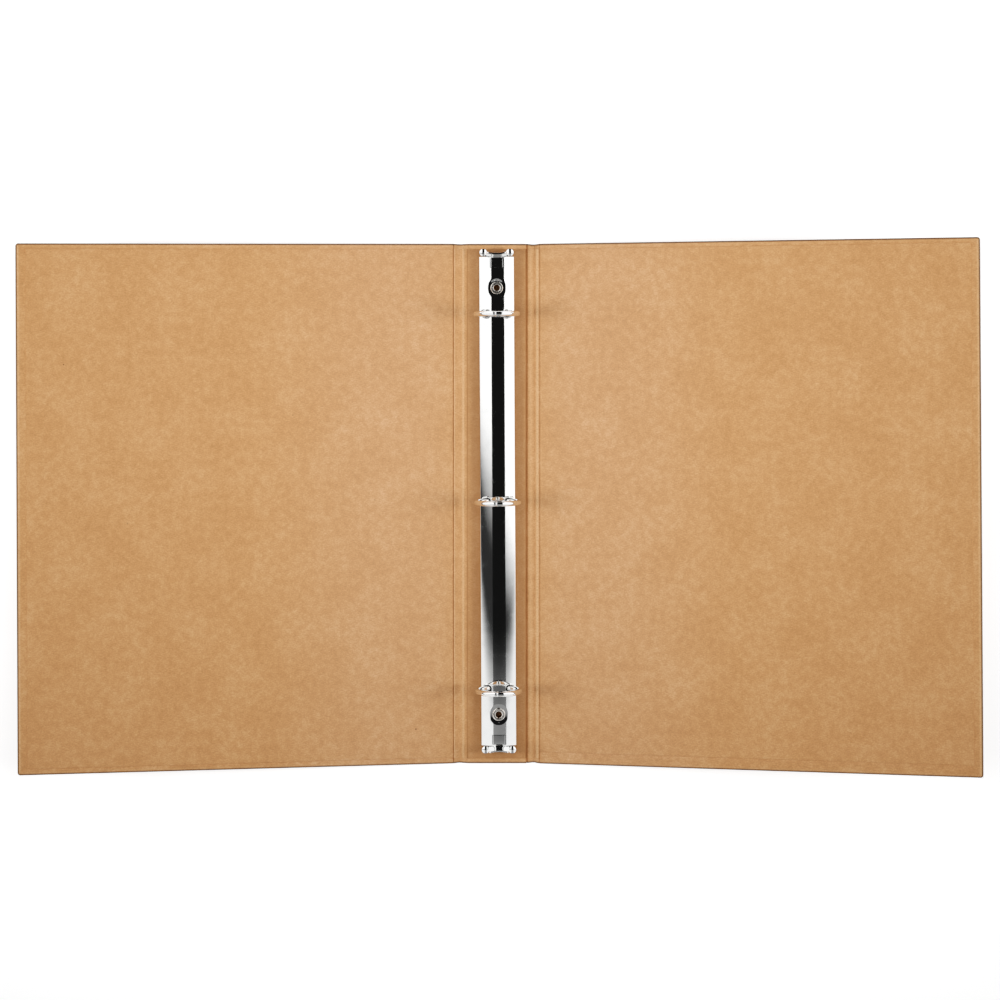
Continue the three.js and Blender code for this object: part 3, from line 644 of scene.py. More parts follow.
def greyboard():
    """Recycled grey board: pulp clouds, fibres and bits of print."""
    nodes = Nodes("greyboard")
    place = nodes.object_place()
    pulp = nodes.noise(place, 0.5, detail=4.0, roughness=0.65)
    strands = fibres(nodes, place, 20, (0, 0, 0))
    bits = nodes.noise(place, 1.7, detail=1.0)
    colour = nodes.mix_colour(nodes.spread(pulp, 0.3, 0.7), (0.24, 0.21, 0.17, 1), (0.38, 0.34, 0.28, 1))
    colour = nodes.mix_colour(nodes.spread(bits, 0.68, 0.74, 0.0, 0.6), colour, (0.12, 0.11, 0.1, 1))
    rough = nodes.spread(pulp, 0.3, 0.7, 0.85, 0.97)
    return nodes.finish(colour, rough, nodes.bump(nodes.plus(pulp, strands), 0.05 * MM, 0.7),
                        Specular_IOR_Level=0.2)


WRAP_PAPER = kraft_paper("kraft_wrap_paper", 60)
LINER_PAPER = kraft_paper("kraft_liner_paper", 0)
PLATE_CHROME = polished_metal("plate_chrome_metal", (0.86, 0.86, 0.85, 1), 0.05)
RING_CHROME = polished_metal("ring_chrome_metal", (0.88, 0.88, 0.87, 1), 0.04, waviness=0.01 * MM)
RIVET_METAL = rivet_metal()
BLADE_STEEL = blade_steel()
GREYBOARD = greyboard()


def settle(piece, body, slot, *replaced):
    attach(piece, body)
    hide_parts(*replaced)


# ---- kraft wrap ---------------------------------------------------------------------------------------

def fold_path(flap_top, pulled):
    """Path (v, height) of the wrap across head and tail: flap, rounded edge, outer face, and back."""
    radius = min(EDGE_RADIUS, flap_top / 2)
    reach = HALF_HEIGHT - pulled
    end = reach - radius
    path = [(reach - inset, flap_top) for inset in (TURN_IN, TURN_IN / 2, 3 * MM, 1.5 * MM)]
    path += arc((end, flap_top - radius), radius, math.pi / 2, 0, 8)
    path += arc((end, radius), radius, 0, -math.pi / 2, 8)
    path += [(v, 0) for v in reversed(lines(0, end, 7 * MM)[:-1])]
    path += [(-v, height) for v, height in reversed(path[:-1])]
    return path


def edge_rub_and_highlight(inset):
    """1 on the light line just inside the edge of a board: rubbed wear and a painted highlight."""
    return 1 - smooth(abs(inset - 1.3 * MM), 0, 0.7 * MM)


def painted_edge_shade(inset):
    """Painted shade on the outermost rounded edge of the paper."""
    return EDGE_PAINTED_SHADE * (1 - smooth(inset, 0.5 * MM, 1.1 * MM))


def folded_strip(name, columns, place, flap_top, pulled=lambda across: 0.0, flat_shift=0.0):
    """A strip of the wrap with its head and tail turned in; columns run across the album."""
    points, flats, wear_and_highlights, edge_shades = [], [], [], []
    for across in columns:
        path = fold_path(flap_top(across), pulled(across))
        for v, height in path:
            points.append(place(across, v, height))
            flats.append((across + flat_shift, v, height))
            inset = HALF_HEIGHT - pulled(across) - abs(v)
            wear_and_highlights.append(HEAD_EDGE_HIGHLIGHT * edge_rub_and_highlight(inset))
            edge_shades.append(painted_edge_shade(inset))
    faces = grid_faces(len(columns), len(path))
    piece = make_piece(name, points, faces, WRAP_PAPER, flats, {"wear_and_highlight": wear_and_highlights, "edge_shade": edge_shades})
    thicken(piece, PAPER)
    shade(piece)
    return piece


def spine_wrap():
    columns = lines(-SPINE_HALF, SPINE_HALF, 4 * MM)
    piece = folded_strip("spine_case", columns, lambda x, v, z: Vector((x, v, z)), lambda x: FLAP_TOP)
    hole = RIVET_HEAD_RADIUS + 0.15 * MM
    punch(piece, [round_prism(place, hole, 0, -MM, 0.35 * MM, 64) for place in RIVET_PLACES])
    shade(piece)
    settle(piece, "spine", "kraft_wrap", "spine_wrap")


def hinge_share(cover, across):
    return (across + cover.near) / (2 * cover.near)


def groove_depth(cover, across):
    """Depth of the pressed liner at a place across a hinge gap, on a smooth curve."""
    share = hinge_share(cover, across)
    curve = GROOVE_DEPTH[cover.name]
    for (low, depth), (high, next_depth) in zip(curve, curve[1:]):
        if share <= high:
            return MM * (depth + (next_depth - depth) * smooth(share, low, high))
    return MM * curve[-1][1]


def hinge_columns(cover):
    shares = sorted({i / 40 for i in range(41)} | {point[0] for point in GROOVE_DEPTH[cover.name]})
    return [-cover.near + 2 * cover.near * share for share in shares]


def settle_over_hinge(piece, cover, replaced):
    """Hides the CAD node that the piece replaces between the spine and a cover, and bakes the piece's
    placing into its mesh.
    """
    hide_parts(replaced)
    start = cover.place_in_hinge(-cover.near, 0, cover.axis_z)
    end = cover.place_in_hinge(cover.near, 0, cover.axis_z)
    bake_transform(piece)


def hinge_wrap(cover):
    def flap_top(across):
        return FLAP_TOP - max(groove_depth(cover, across) - LINER_CLEARANCE, 0)

    def pulled(across):
        return GAP_PULL[cover.name] * math.sin(math.pi * hinge_share(cover, across)) ** 2

    piece = folded_strip(f"{cover.name}_hinge_case", hinge_columns(cover), cover.place_in_hinge, flap_top,
                         pulled, cover.side * cover.axis_x)
    settle_over_hinge(piece, cover, f"{cover.name}_hinge_wrap")


def cover_outline(cover, inset, steps_u, steps_v):
    """Outline (u, v) of a cover at an inset: tail edge, corner, fore-edge, corner, head edge."""
    radius = max(CORNER_RADIUS - inset, 0)
    far = cover.reach - inset - radius
    end = HALF_HEIGHT - inset - radius
    tail = [(cover.near + (far - cover.near) * share, -HALF_HEIGHT + inset) for share in steps_u]
    fore = [(cover.reach - inset, -end + 2 * end * share) for share in steps_v]
    tail_corner = arc((far, -end), radius, -math.pi / 2, 0, 2 * CORNER_STEPS)[1:-1]
    head_corner = arc((far, end), radius, 0, math.pi / 2, 2 * CORNER_STEPS)[1:-1]
    head = [(u, -v) for u, v in reversed(tail)]
    return tail + tail_corner + fore + head_corner + head


def cover_edge_profile():
    """(inset, height) over the edge of a cover: outer face, rounded edge, flap."""
    radius = EDGE_RADIUS
    below = [(12 * MM, 0), (6 * MM, 0), (2.5 * MM, 0), (1.5 * MM, 0)]
    low_round = arc((radius, radius), radius, -math.pi / 2, -math.pi, 8)
    high_round = arc((radius, FLAP_TOP - radius), radius, math.pi, math.pi / 2, 8)
    flap = [(inset * MM, FLAP_TOP) for inset in (1.3, 1.7, 2.4, 4, 8)] + [(TURN_IN, FLAP_TOP)]
    return below, low_round + high_round, flap


def cover_wrap(cover):
    steps_u = [0, 0.04, 0.1] + [0.1 + 0.86 * i / 24 for i in range(1, 25)] + [0.98, 0.992, 0.998, 1]
    steps_v = [0, 0.002, 0.008, 0.02] + [0.02 + 0.96 * i / 30 for i in range(1, 31)] + [0.992, 0.998, 1]
    below, rounded, flap = cover_edge_profile()
    profile = below + rounded + flap
    tail_end = len(steps_u) - 1 + CORNER_STEPS
    head_start = tail_end + 2 * CORNER_STEPS + len(steps_v) - 1
    total = 2 * len(steps_u) + len(steps_v) + 2 * (2 * CORNER_STEPS - 1)
    # the painted highlight and rub is full along the fore-edge, which faces a side lamp, and weak at head
    # and tail
    strips = [(0, tail_end, 0, HEAD_EDGE_HIGHLIGHT), (tail_end, head_start, FLAP_LIFT, 1),
              (head_start, total - 1, 0, HEAD_EDGE_HIGHLIGHT)]
    points, flats, wear_and_highlights, edge_shades, faces = [], [], [], [], []

    def add(u, v, height, wear_and_highlight=0.0, edge_shade=0.0):
        points.append(cover.place(u, v, height))
        flats.append((cover.side * (cover.axis_x + u), v, height))
        wear_and_highlights.append(wear_and_highlight)
        edge_shades.append(edge_shade)

    for first, last, lift, edge_light in strips:
        start = len(points)
        for index, (inset, height) in enumerate(profile):
            outline = cover_outline(cover, inset, steps_u, steps_v)[first:last + 1]
            on_flap = index >= len(below) + len(rounded)
            raised = lift * smooth(inset, 0.9 * MM, 2.2 * MM) if on_flap else 0
            for u, v in outline:
                add(u, v, height + raised, edge_light * edge_rub_and_highlight(inset), painted_edge_shade(inset))
        faces += grid_faces(len(profile), last - first + 1, start)

    start = len(points)
    inset = profile[0][0]
    inner = cover_outline(cover, inset, steps_u, steps_v)
    us = [u for u, v in inner[:len(steps_u)]]
    vs = [-(HALF_HEIGHT - inset) + 2 * (HALF_HEIGHT - inset) * share for share in steps_v]
    for u in us:
        for v in vs:
            add(u, v, 0)
    faces += grid_faces(len(us), len(vs), start)
    piece = make_piece(f"{cover.name}_cover_case", points, faces, WRAP_PAPER, flats,
                       {"wear_and_highlight": wear_and_highlights, "edge_shade": edge_shades})
    thicken(piece, PAPER)
    shade(piece)
    settle(piece, cover.body, "kraft_wrap", f"{cover.name}_cover_wrap")


# ---- kraft liner --------------------------------------------------------------------------------------

def liner_height(v, from_fore_edge=1.0):
    """Height of the liner, which sinks a little inside the turned-in edges."""
    inside = min(HALF_HEIGHT - abs(v), from_fore_edge) - TURN_IN
    return LINER_TOP - LINER_SINK * smooth(inside, -0.2 * MM, 1.8 * MM)


def liner_lines(low, high, step):
    near_edge = [0.06 * MM, 0.2 * MM, 0.45 * MM, 1.2 * MM]
    fold = [HALF_HEIGHT - TURN_IN + offset * MM for offset in (0.2, -0.4, -1, -1.8)]
    extras = [low + d for d in near_edge] + [high - d for d in near_edge] + fold + [-v for v in fold]
    return lines(low, high, step, extras)


def closed_sheet(name, columns, rows, top, below, flat, marks):
    """A closed sheet over a grid: top(a, b) gives its upper points and below(a, b) its lower ones."""
    pairs = [(a, b) for a in columns for b in rows]
    points = [top(a, b) for a, b in pairs] + [below(a, b) for a, b in pairs]
    flats = [flat(a, b) for a, b in pairs] * 2
    values = {mark: [value(a, b) for a, b in pairs] * 2 for mark, value in marks.items()}
    count = len(pairs)
    wide = len(rows)
    faces = grid_faces(len(columns), wide)
    faces += [tuple(reversed(face)) for face in grid_faces(len(columns), wide, count)]
    ring = [i * wide for i in range(len(columns))]
    ring += [(len(columns) - 1) * wide + j for j in range(1, wide)]
    ring += [i * wide + wide - 1 for i in range(len(columns) - 2, -1, -1)]
    ring += list(range(wide - 2, 0, -1))
    faces += [(a, b, b + count, a + count) for a, b in zip(ring, ring[1:] + ring[:1])]
    piece = make_piece(name, points, faces, LINER_PAPER, flats, values)
    shade(piece)
    return piece


def edge_drop(*distances):
    return LINER_EDGE_DROP * (1 - smooth(min(distances), 0, 0.3 * MM))


def near_groove(distance):
    """1 where a liner on a board meets a groove, 0 from a short distance on."""
    return 1 - smooth(distance, 0, EDGE_DIP_WIDTH)


def crease_shade_strength(cover, at_cover, v):
    """How dark the painted shade in a crease is: it varies along the album."""
    wander = noise.noise(Vector((v * 30, 5 * cover.side, 9 * at_cover)))
    return CREASE_SHADES[cover.name][at_cover] * (1 + 0.7 * wander)


def spine_liner():
    low, high = SPINE_LINER_MARGIN - HALF_HEIGHT, HALF_HEIGHT - SPINE_LINER_MARGIN
    dips = [SPINE_HALF - share * EDGE_DIP_WIDTH for share in (0.25, 0.5, 0.75, 1)]
    columns = lines(-SPINE_HALF, SPINE_HALF, 2 * MM, dips + [-x for x in dips])

    def side_of(x):
        return COVERS[0] if x < 0 else COVERS[1]

    def top(x, v):
        dip = MM * GROOVE_DEPTH[side_of(x).name][0][1] * near_groove(SPINE_HALF - abs(x))
        return Vector((x, v, liner_height(v) - dip - edge_drop(v - low, high - v)))

    # painted shade along the plate and in the crease at each groove
    def painted_shade(x, v):
        return plate_side_shade(x) + crease_shade_strength(side_of(x), 0, v) * near_groove(SPINE_HALF - abs(x))

    piece = closed_sheet(
        "spine_liner_sheet", columns, liner_lines(low, high, 5 * MM),
        top, lambda x, v: top(x, v) - Vector((0, 0, PAPER)), lambda x, v: (x, v, 0),
        {"wear_and_highlight": lambda x, v: 0.0, "painted_shade": painted_shade})
    hole = RIVET_SHANK_RADIUS + 0.2 * MM
    cutters = [round_prism(place, hole, 0, LINER_TOP - MM, LINER_TOP + MM, 48) for place in RIVET_PLACES]
    punch(piece, cutters)
    shade(piece)
    settle(piece, "spine", "kraft_liner", "spine_liner")


def plate_side_shade(x):
    """Painted shade along the plate, weaker away from it."""
    side = -1 if x < METAL_X else 1
    from_plate = abs(x - METAL_X) - PLATE_ARCH_HALF_WIDTH
    return 1.1 - PLATE_SHADE_FALL[side] * smooth(from_plate, 0, SPINE_HALF - PLATE_ARCH_HALF_WIDTH)


def hinge_marks(cover):
    """Where the pressed groove gets painted shade in its creases, and ridges lightened by rubbed wear and a
    painted highlight.
    """
    def peak(share, centre, width):
        return 1 - smooth(abs(share - centre), 0, width)

    def painted_shade(across, v):
        share = hinge_share(cover, across)
        at_spine = crease_shade_strength(cover, 0, v) * peak(share, 0, 0.07)
        at_cover = crease_shade_strength(cover, 1, v) * peak(share, 1, 0.04)
        return PLATE_SHADE_IN_GROOVE * peak(share, 0, 0.2) + at_spine + at_cover

    def wear_and_highlight(across, v):
        share = hinge_share(cover, across)
        return max(strength * peak(share, place, width)
                   for place, width, strength in GROOVE_RIDGE_HIGHLIGHTS[cover.name])

    return {"painted_shade": painted_shade, "wear_and_highlight": wear_and_highlight}


def hinge_liner(cover):
    low, high = SPINE_LINER_MARGIN - HALF_HEIGHT, HALF_HEIGHT - SPINE_LINER_MARGIN

    def height(across, v):
        middle = math.sin(math.pi * hinge_share(cover, across))
        ripple = 0.09 * MM * middle * noise.noise(Vector((across * 80, v * 45, cover.side)))
        return liner_height(v) - groove_depth(cover, across) + ripple - edge_drop(v - low, high - v)

    piece = closed_sheet(
        f"{cover.name}_hinge_liner_sheet", hinge_columns(cover), liner_lines(low, high, 3 * MM),
        lambda across, v: cover.place_in_hinge(across, v, height(across, v)),
        lambda across, v: cover.place_in_hinge(across, v, height(across, v) - PAPER),
        lambda across, v: (cover.side * (cover.axis_x + across), v, 0), hinge_marks(cover))
    settle_over_hinge(piece, cover, f"{cover.name}_hinge_liner")


def cover_liner(cover):
    fore, tail, head = LINER_MARGIN[cover.name]
    far = cover.reach - fore
    low, high = tail - HALF_HEIGHT, HALF_HEIGHT - head
    fold = [cover.reach - TURN_IN - d * MM for d in (-0.2, 0.4, 1, 1.8)]
    edge = [far - d * MM for d in (0.06, 0.2, 0.45, 1.2)]
    dips = [cover.near + share * EDGE_DIP_WIDTH for share in (0.25, 0.5, 0.75, 1)]
    columns = lines(cover.near, far, 5 * MM, fold + edge + dips)
    edge_dip = MM * GROOVE_DEPTH[cover.name][-1][1]

    def height(u, v):
        ramp = smooth(u, cover.near, cover.near + 40 * MM)
        swell = 0.05 * MM * ramp * noise.noise(Vector((u * 11, v * 11, 3 * cover.side)))
        dip = edge_dip * near_groove(u - cover.near)
        return liner_height(v, cover.reach - u) + swell - dip - edge_drop(far - u, v - low, high - v)

    # painted shade in the crease where the liner meets the groove
    def painted_shade(u, v):
        return crease_shade_strength(cover, 1, v) * near_groove(u - cover.near)

    piece = closed_sheet(
        f"{cover.name}_cover_liner_sheet", columns, liner_lines(low, high, 5 * MM),
        lambda u, v: cover.place(u, v, height(u, v)),
        lambda u, v: cover.place(u, v, height(u, v) - PAPER),
        lambda u, v: (cover.side * (cover.axis_x + u), v, 0),
        {"wear_and_highlight": lambda u, v: 0.0, "painted_shade": painted_shade})
    settle(piece, cover.body, "kraft_liner", f"{cover.name}_cover_liner")


# ---- ring plate ---------------------------------------------------------------------------------------

def plate_section():
    """Middle of the plate's sheet as (x, z), from its left lip over the arch to its right lip."""
    centre_z = PLATE_TOP - PLATE_SHEET / 2 - PLATE_ARCH_RADIUS
    gap_end = TONGUE_HALF_WIDTH + TONGUE_GAP
    keep = [TONGUE_HALF_WIDTH - 0.15 * MM, TONGUE_HALF_WIDTH, gap_end, gap_end + 0.15 * MM]
    arch = [(x, centre_z + math.sqrt(PLATE_ARCH_RADIUS ** 2 - x ** 2))
            for x in lines(0, PLATE_ARCH_HALF_WIDTH, 0.4 * MM, keep)]
    lean = math.acos(PLATE_ARCH_HALF_WIDTH / PLATE_ARCH_RADIUS)
    middle = (arch[-1][0] - PLATE_SHOULDER_RADIUS * math.cos(lean),
              arch[-1][1] - PLATE_SHOULDER_RADIUS * math.sin(lean))
    shoulder = arc(middle, PLATE_SHOULDER_RADIUS, lean, 0, 10)[1:]
    wall_x = middle[0] + PLATE_SHOULDER_RADIUS
    curl_x = wall_x - PLATE_CURL_RADIUS
    curl_z = PLATE_BOTTOM + PLATE_CURL_RADIUS + PLATE_SHEET / 2
    wall = [(wall_x, curl_z + share * (middle[1] - curl_z)) for share in (0.7, 0.3)]
    curl = arc((curl_x, curl_z), PLATE_CURL_RADIUS, 0, -PLATE_CURL_TURN, 10)
    turn = -PLATE_CURL_TURN - math.pi / 2
    lip = (curl[-1][0] + PLATE_LIP * math.cos(turn), curl[-1][1] + PLATE_LIP * math.sin(turn))
    right = arch + shoulder + wall + curl + [lip]
    return [(-x, z) for x, z in reversed(right[1:])] + right


def plate_rows():
    """Positions along the plate, close together over the rivet dimples and the tongues."""
    root, free = TONGUE_ROOT_Y, TONGUE_FREE_Y
    beyond = free - TONGUE_GAP
    tongue = [root + 0.2 * MM, root, root - 0.5 * MM, free + 0.2 * MM, free, beyond, beyond - 0.2 * MM]
    extras = tongue + [-y for y in tongue]
    for y in RIVET_YS:
        extras += [y - METAL_Y + i * 0.4 * MM for i in range(-17, 18)]
    return lines(-PLATE_HALF_LENGTH, PLATE_HALF_LENGTH, 3 * MM, extras)


def dimple_lift(x, y):
    """Around a rivet the arch is levelled into a flat floor, which is pressed down."""
    radius = min(math.hypot(x, y - (rivet_y - METAL_Y)) for rivet_y in RIVET_YS)
    share = 1 - smooth(radius, DIMPLE_FLOOR_RADIUS, DIMPLE_RADIUS)
    arch_fall = PLATE_ARCH_RADIUS - math.sqrt(max(PLATE_ARCH_RADIUS ** 2 - x ** 2, 0))
    return arch_fall * share - DIMPLE_DEPTH * share


def tongue_drop(x, y):
    hair = 0.01 * MM
    if abs(x) > TONGUE_HALF_WIDTH + hair or abs(y) < TONGUE_FREE_Y - hair:
        return 0.0
    return TONGUE_DROP * smooth(TONGUE_ROOT_Y - abs(y), 0, TONGUE_LENGTH * 1.3)


def in_tongue_gap(x, y):
    """In the thin cut on both sides of a tongue or across its free end."""
    cut_half_width = TONGUE_HALF_WIDTH + TONGUE_GAP
    cut_end = TONGUE_FREE_Y - TONGUE_GAP
    beside = TONGUE_HALF_WIDTH < abs(x) < cut_half_width and cut_end < abs(y) < TONGUE_ROOT_Y
    beyond = abs(x) < cut_half_width and cut_end < abs(y) < TONGUE_FREE_Y
    return beside or beyond


def ring_plate():
    section = plate_section()
    rows = plate_rows()
    arch_low = PLATE_TOP - ARCH_DEPTH
    points, flat = [], []
    for y in rows:
        for x, z in section:
            on_arch = z > arch_low and abs(x) < PLATE_ARCH_HALF_WIDTH
            change = dimple_lift(x, y) - tongue_drop(x, y) if on_arch else 0
            points.append((METAL_X + x, METAL_Y + y, z + change))
            flat.append((x, y))
    faces = []
    for face in grid_faces(len(rows), len(section)):
        x = sum(flat[i][0] for i in face) / 4
        y = sum(flat[i][1] for i in face) / 4
        on_top = all(points[i][2] > arch_low for i in face)
        if not (on_top and in_tongue_gap(x, y)):
            faces.append(face)
    piece = new_object("ring_plate_sheet", points, faces, PLATE_CHROME)
    thicken(piece, PLATE_SHEET, 0)
    middle = (SLOT_INNER + SLOT_OUTER) / 2
    stretch = (SLOT_OUTER - SLOT_INNER) / 2 - SLOT_HALF_WIDTH
    low, high = PLATE_TOP - CUT_DEPTH, PLATE_TOP + MM
    cutters = [round_prism((METAL_X + side * middle, y), SLOT_HALF_WIDTH, stretch, low, high)
               for y in RING_YS for side in (-1, 1)]
    hole = RIVET_SHANK_RADIUS + 0.1 * MM
    cutters += [round_prism((METAL_X, y), hole, 0, low, high) for y in RIVET_YS]
    punch(piece, cutters)
    soften_edges(piece, 0.08 * MM)
    shade(piece, math.radians(35))
    piece.data.transform(METAL_TURNING)
    settle(piece, "spine", "plate_chrome", "ring_plate")


# ---- half rings ---------------------------------------------------------------------------------------

def ring_path(side):
    """Stations (centre x, centre z, normal angle, radius) of one half ring, from its tip to its spigot."""
    seam_x = side * RING_SEAM_X + RING_SEAM_GAP / 2
    seam = math.acos(seam_x / RING_RADIUS)
    stations = []

    def on_ring(angle, radius):
        x = RING_RADIUS * math.cos(angle)
        stations.append((x, RING_CENTRE_Z + RING_RADIUS * math.sin(angle), angle, radius))

    for angle, radius in RING_TIPS[side]:
        on_ring(seam + angle, radius * MM)
    start = seam - RING_TIP_CHAMFER
    for i in range(RING_STEPS + 1):
        on_ring(start + (RING_FOOT_ANGLE - start) * i / RING_STEPS, WIRE_RADIUS)
    return stations


def foot_path(side, start):
    """The wire bends from the ring down onto the blade, which leans, and ends in a staked spigot."""
    blade = "left" if side < 0 else "right"
    pivot = joint(f"{blade}_ring_swing")["pos_m"]
    pivot_x = abs(pivot[0] - METAL_X)
    sine, cosine = math.sin(BLADE_LEAN), math.cos(BLADE_LEAN)
    foot = Vector((pivot_x - FOOT_REACH * cosine - FOOT_LIFT * sine,
                   pivot[2] - FOOT_REACH * sine + FOOT_LIFT * cosine))
    down = Vector((sine, -cosine))
    from_point = Vector(start[:2])
    heading = Vector((math.sin(start[2]), -math.cos(start[2])))
    controls = [from_point, from_point + heading * FOOT_BEND, foot - down * FOOT_BEND, foot]
    stations = []
    for i in range(1, FOOT_STEPS + 1):
        t = i / FOOT_STEPS
        point = (controls[0] * (1 - t) ** 3 + controls[1] * 3 * t * (1 - t) ** 2
                 + controls[2] * 3 * t * t * (1 - t) + controls[3] * t ** 3)
        angle = start[2] + (BLADE_LEAN - start[2]) * smooth(t)
        stations.append((point.x, point.y, angle, WIRE_RADIUS))
    for along, radius in ((0, SPIGOT_RADIUS), (SPIGOT_LENGTH, SPIGOT_RADIUS), (SPIGOT_LENGTH, 0)):
        end = foot + down * along
        stations.append((end.x, end.y, BLADE_LEAN, radius))
    return stations


def half_ring(side, number, ring_y):
    stations = ring_path(side)
    stations += foot_path(side, stations[-1])
    points = []
    for x, z, angle, radius in stations:
        for i in range(WIRE_SIDES):
            turn = 2 * math.pi * i / WIRE_SIDES
            out = radius * math.cos(turn)
            points.append((METAL_X + side * (x + out * math.cos(angle)), ring_y + radius * math.sin(turn),
                           z + out * math.sin(angle)))
    hand = "left" if side < 0 else "right"
    name = f"{hand}_half_ring_{number}"
    faces = grid_faces(len(stations), WIRE_SIDES, closed=True)
    piece = make_piece(f"{name}_wire", points, faces, RING_CHROME)
    shade(piece, math.radians(45))
    piece.data.transform(METAL_TURNING)
    settle(piece, f"{hand}_rings", "ring_chrome", name)


# ---- levers -------------------------------------------------------------------------------------------

def lever_wing(side):
    """Plan (x, y) of one side of the lever's foot, from the tab out into its roll.

    y runs outwards, away from the plate."""
    reach = LEVER_ROLL_X - LEVER_ROLL_RADIUS / 2
    return [(side * x, -LEVER_SETBACK) for x in lines(LEVER_TAB_HALF_WIDTH, reach, 0.5 * MM)]


def lever_roll(end, side):
    """The sheet is rolled up tight beside the foot, and its upper end is worn to a dome."""
    sign = 1 if end == "head" else -1
    name = f"{end}_lever_{'left' if side < 0 else 'right'}_roll"
    dome_radius = LEVER_ROLL_RADIUS / math.sin(LEVER_ROLL_DOME)
    dome_z = LEVER_ROLL_HIGH - dome_radius
    rim = LEVER_ROLL_RIM
    profile = [(0, LEVER_ROLL_LOW), (LEVER_ROLL_RADIUS - rim, LEVER_ROLL_LOW)]
    profile += arc((LEVER_ROLL_RADIUS - rim, LEVER_ROLL_LOW + rim), rim, -math.pi / 3, 0, 4)
    profile += arc((0, dome_z), dome_radius, math.pi / 2 - LEVER_ROLL_DOME, math.pi / 2, 14)
    place = (METAL_X + side * LEVER_ROLL_X, METAL_Y + sign * (PLATE_HALF_LENGTH + LEVER_OUT + LEVER_ROLL_Y))
    points, faces = lathe(profile, place, 48)
    piece = make_piece(name, points, faces, PLATE_CHROME)
    shade(piece, math.radians(50))
    piece.data.transform(METAL_TURNING)
    settle(piece, f"{end}_lever", "plate_chrome")


def lever(end):
    """A bent sheet: a dished tab, a foot that runs out into the rolls, and two short prongs."""
    sign = 1 if end == "head" else -1
    low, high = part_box(f"{end}_lever")
    base_y = METAL_Y + sign * (PLATE_HALF_LENGTH + LEVER_OUT)
    foot = low.z + LEVER_FOOT_LIFT
    rows = lines(foot, high.z, 0.8 * MM, [LEVER_ROLL_LOW, LEVER_ROLL_HIGH])
    roll_rows = [z for z in rows if LEVER_ROLL_LOW <= z <= LEVER_ROLL_HIGH]
    points, faces = [], []

    def add_sheet(columns, heights, place):
        start = len(points)
        for column in columns:
            for height in heights:
                x, y, z = place(column, height)
                points.append((METAL_X + x, base_y + sign * y, z))
        faces.extend(grid_faces(len(columns), len(heights), start))

    def tab(x, z):
        share = max((z - LEVER_TAB_LOW) / (high.z - LEVER_TAB_LOW), 0)
        from_middle = smooth(abs(x), MM, LEVER_DISH_HALF_WIDTH)
        top_y = LEVER_TOP_BOW * (2 * from_middle - 1)
        lean = (top_y + LEVER_SETBACK) * smooth(share, 0.1, 1)
        dish = LEVER_DISH * smooth(share, 0, 0.15) * (1 - share) * (1 - from_middle)
        corner = LEVER_TAB_CORNER * share * smooth(abs(x), LEVER_TAB_HALF_WIDTH - LEVER_TAB_CORNER,
                                                   LEVER_TAB_HALF_WIDTH) ** 2
        return x, lean - dish - LEVER_SETBACK, z - corner

    inner = LEVER_PRONG_INNER
    columns = lines(-LEVER_TAB_HALF_WIDTH, LEVER_TAB_HALF_WIDTH, 0.35 * MM, [-inner, inner])
    add_sheet(columns, rows, tab)
    for side in (-1, 1):
        add_sheet(lever_wing(side), roll_rows, lambda column, z: (*column, z))
        prong = [x for x in columns if inner - 0.01 * MM < side * x]
        add_sheet(prong, lines(0, 1, 0.25), lambda x, t: (x, -LEVER_SETBACK - LEVER_PRONG * t,
                                                          foot - 0.1 * MM * smooth(t)))
    piece = make_piece(f"{end}_lever_tab", points, faces, PLATE_CHROME)
    thicken(piece, LEVER_SHEET, 0)
    soften_edges(piece, 0.3 * MM, segments=4)
    shade(piece)
    piece.data.transform(METAL_TURNING)
    settle(piece, f"{end}_lever", "plate_chrome", f"{end}_lever")


# ---- rivets -------------------------------------------------------------------------------------------

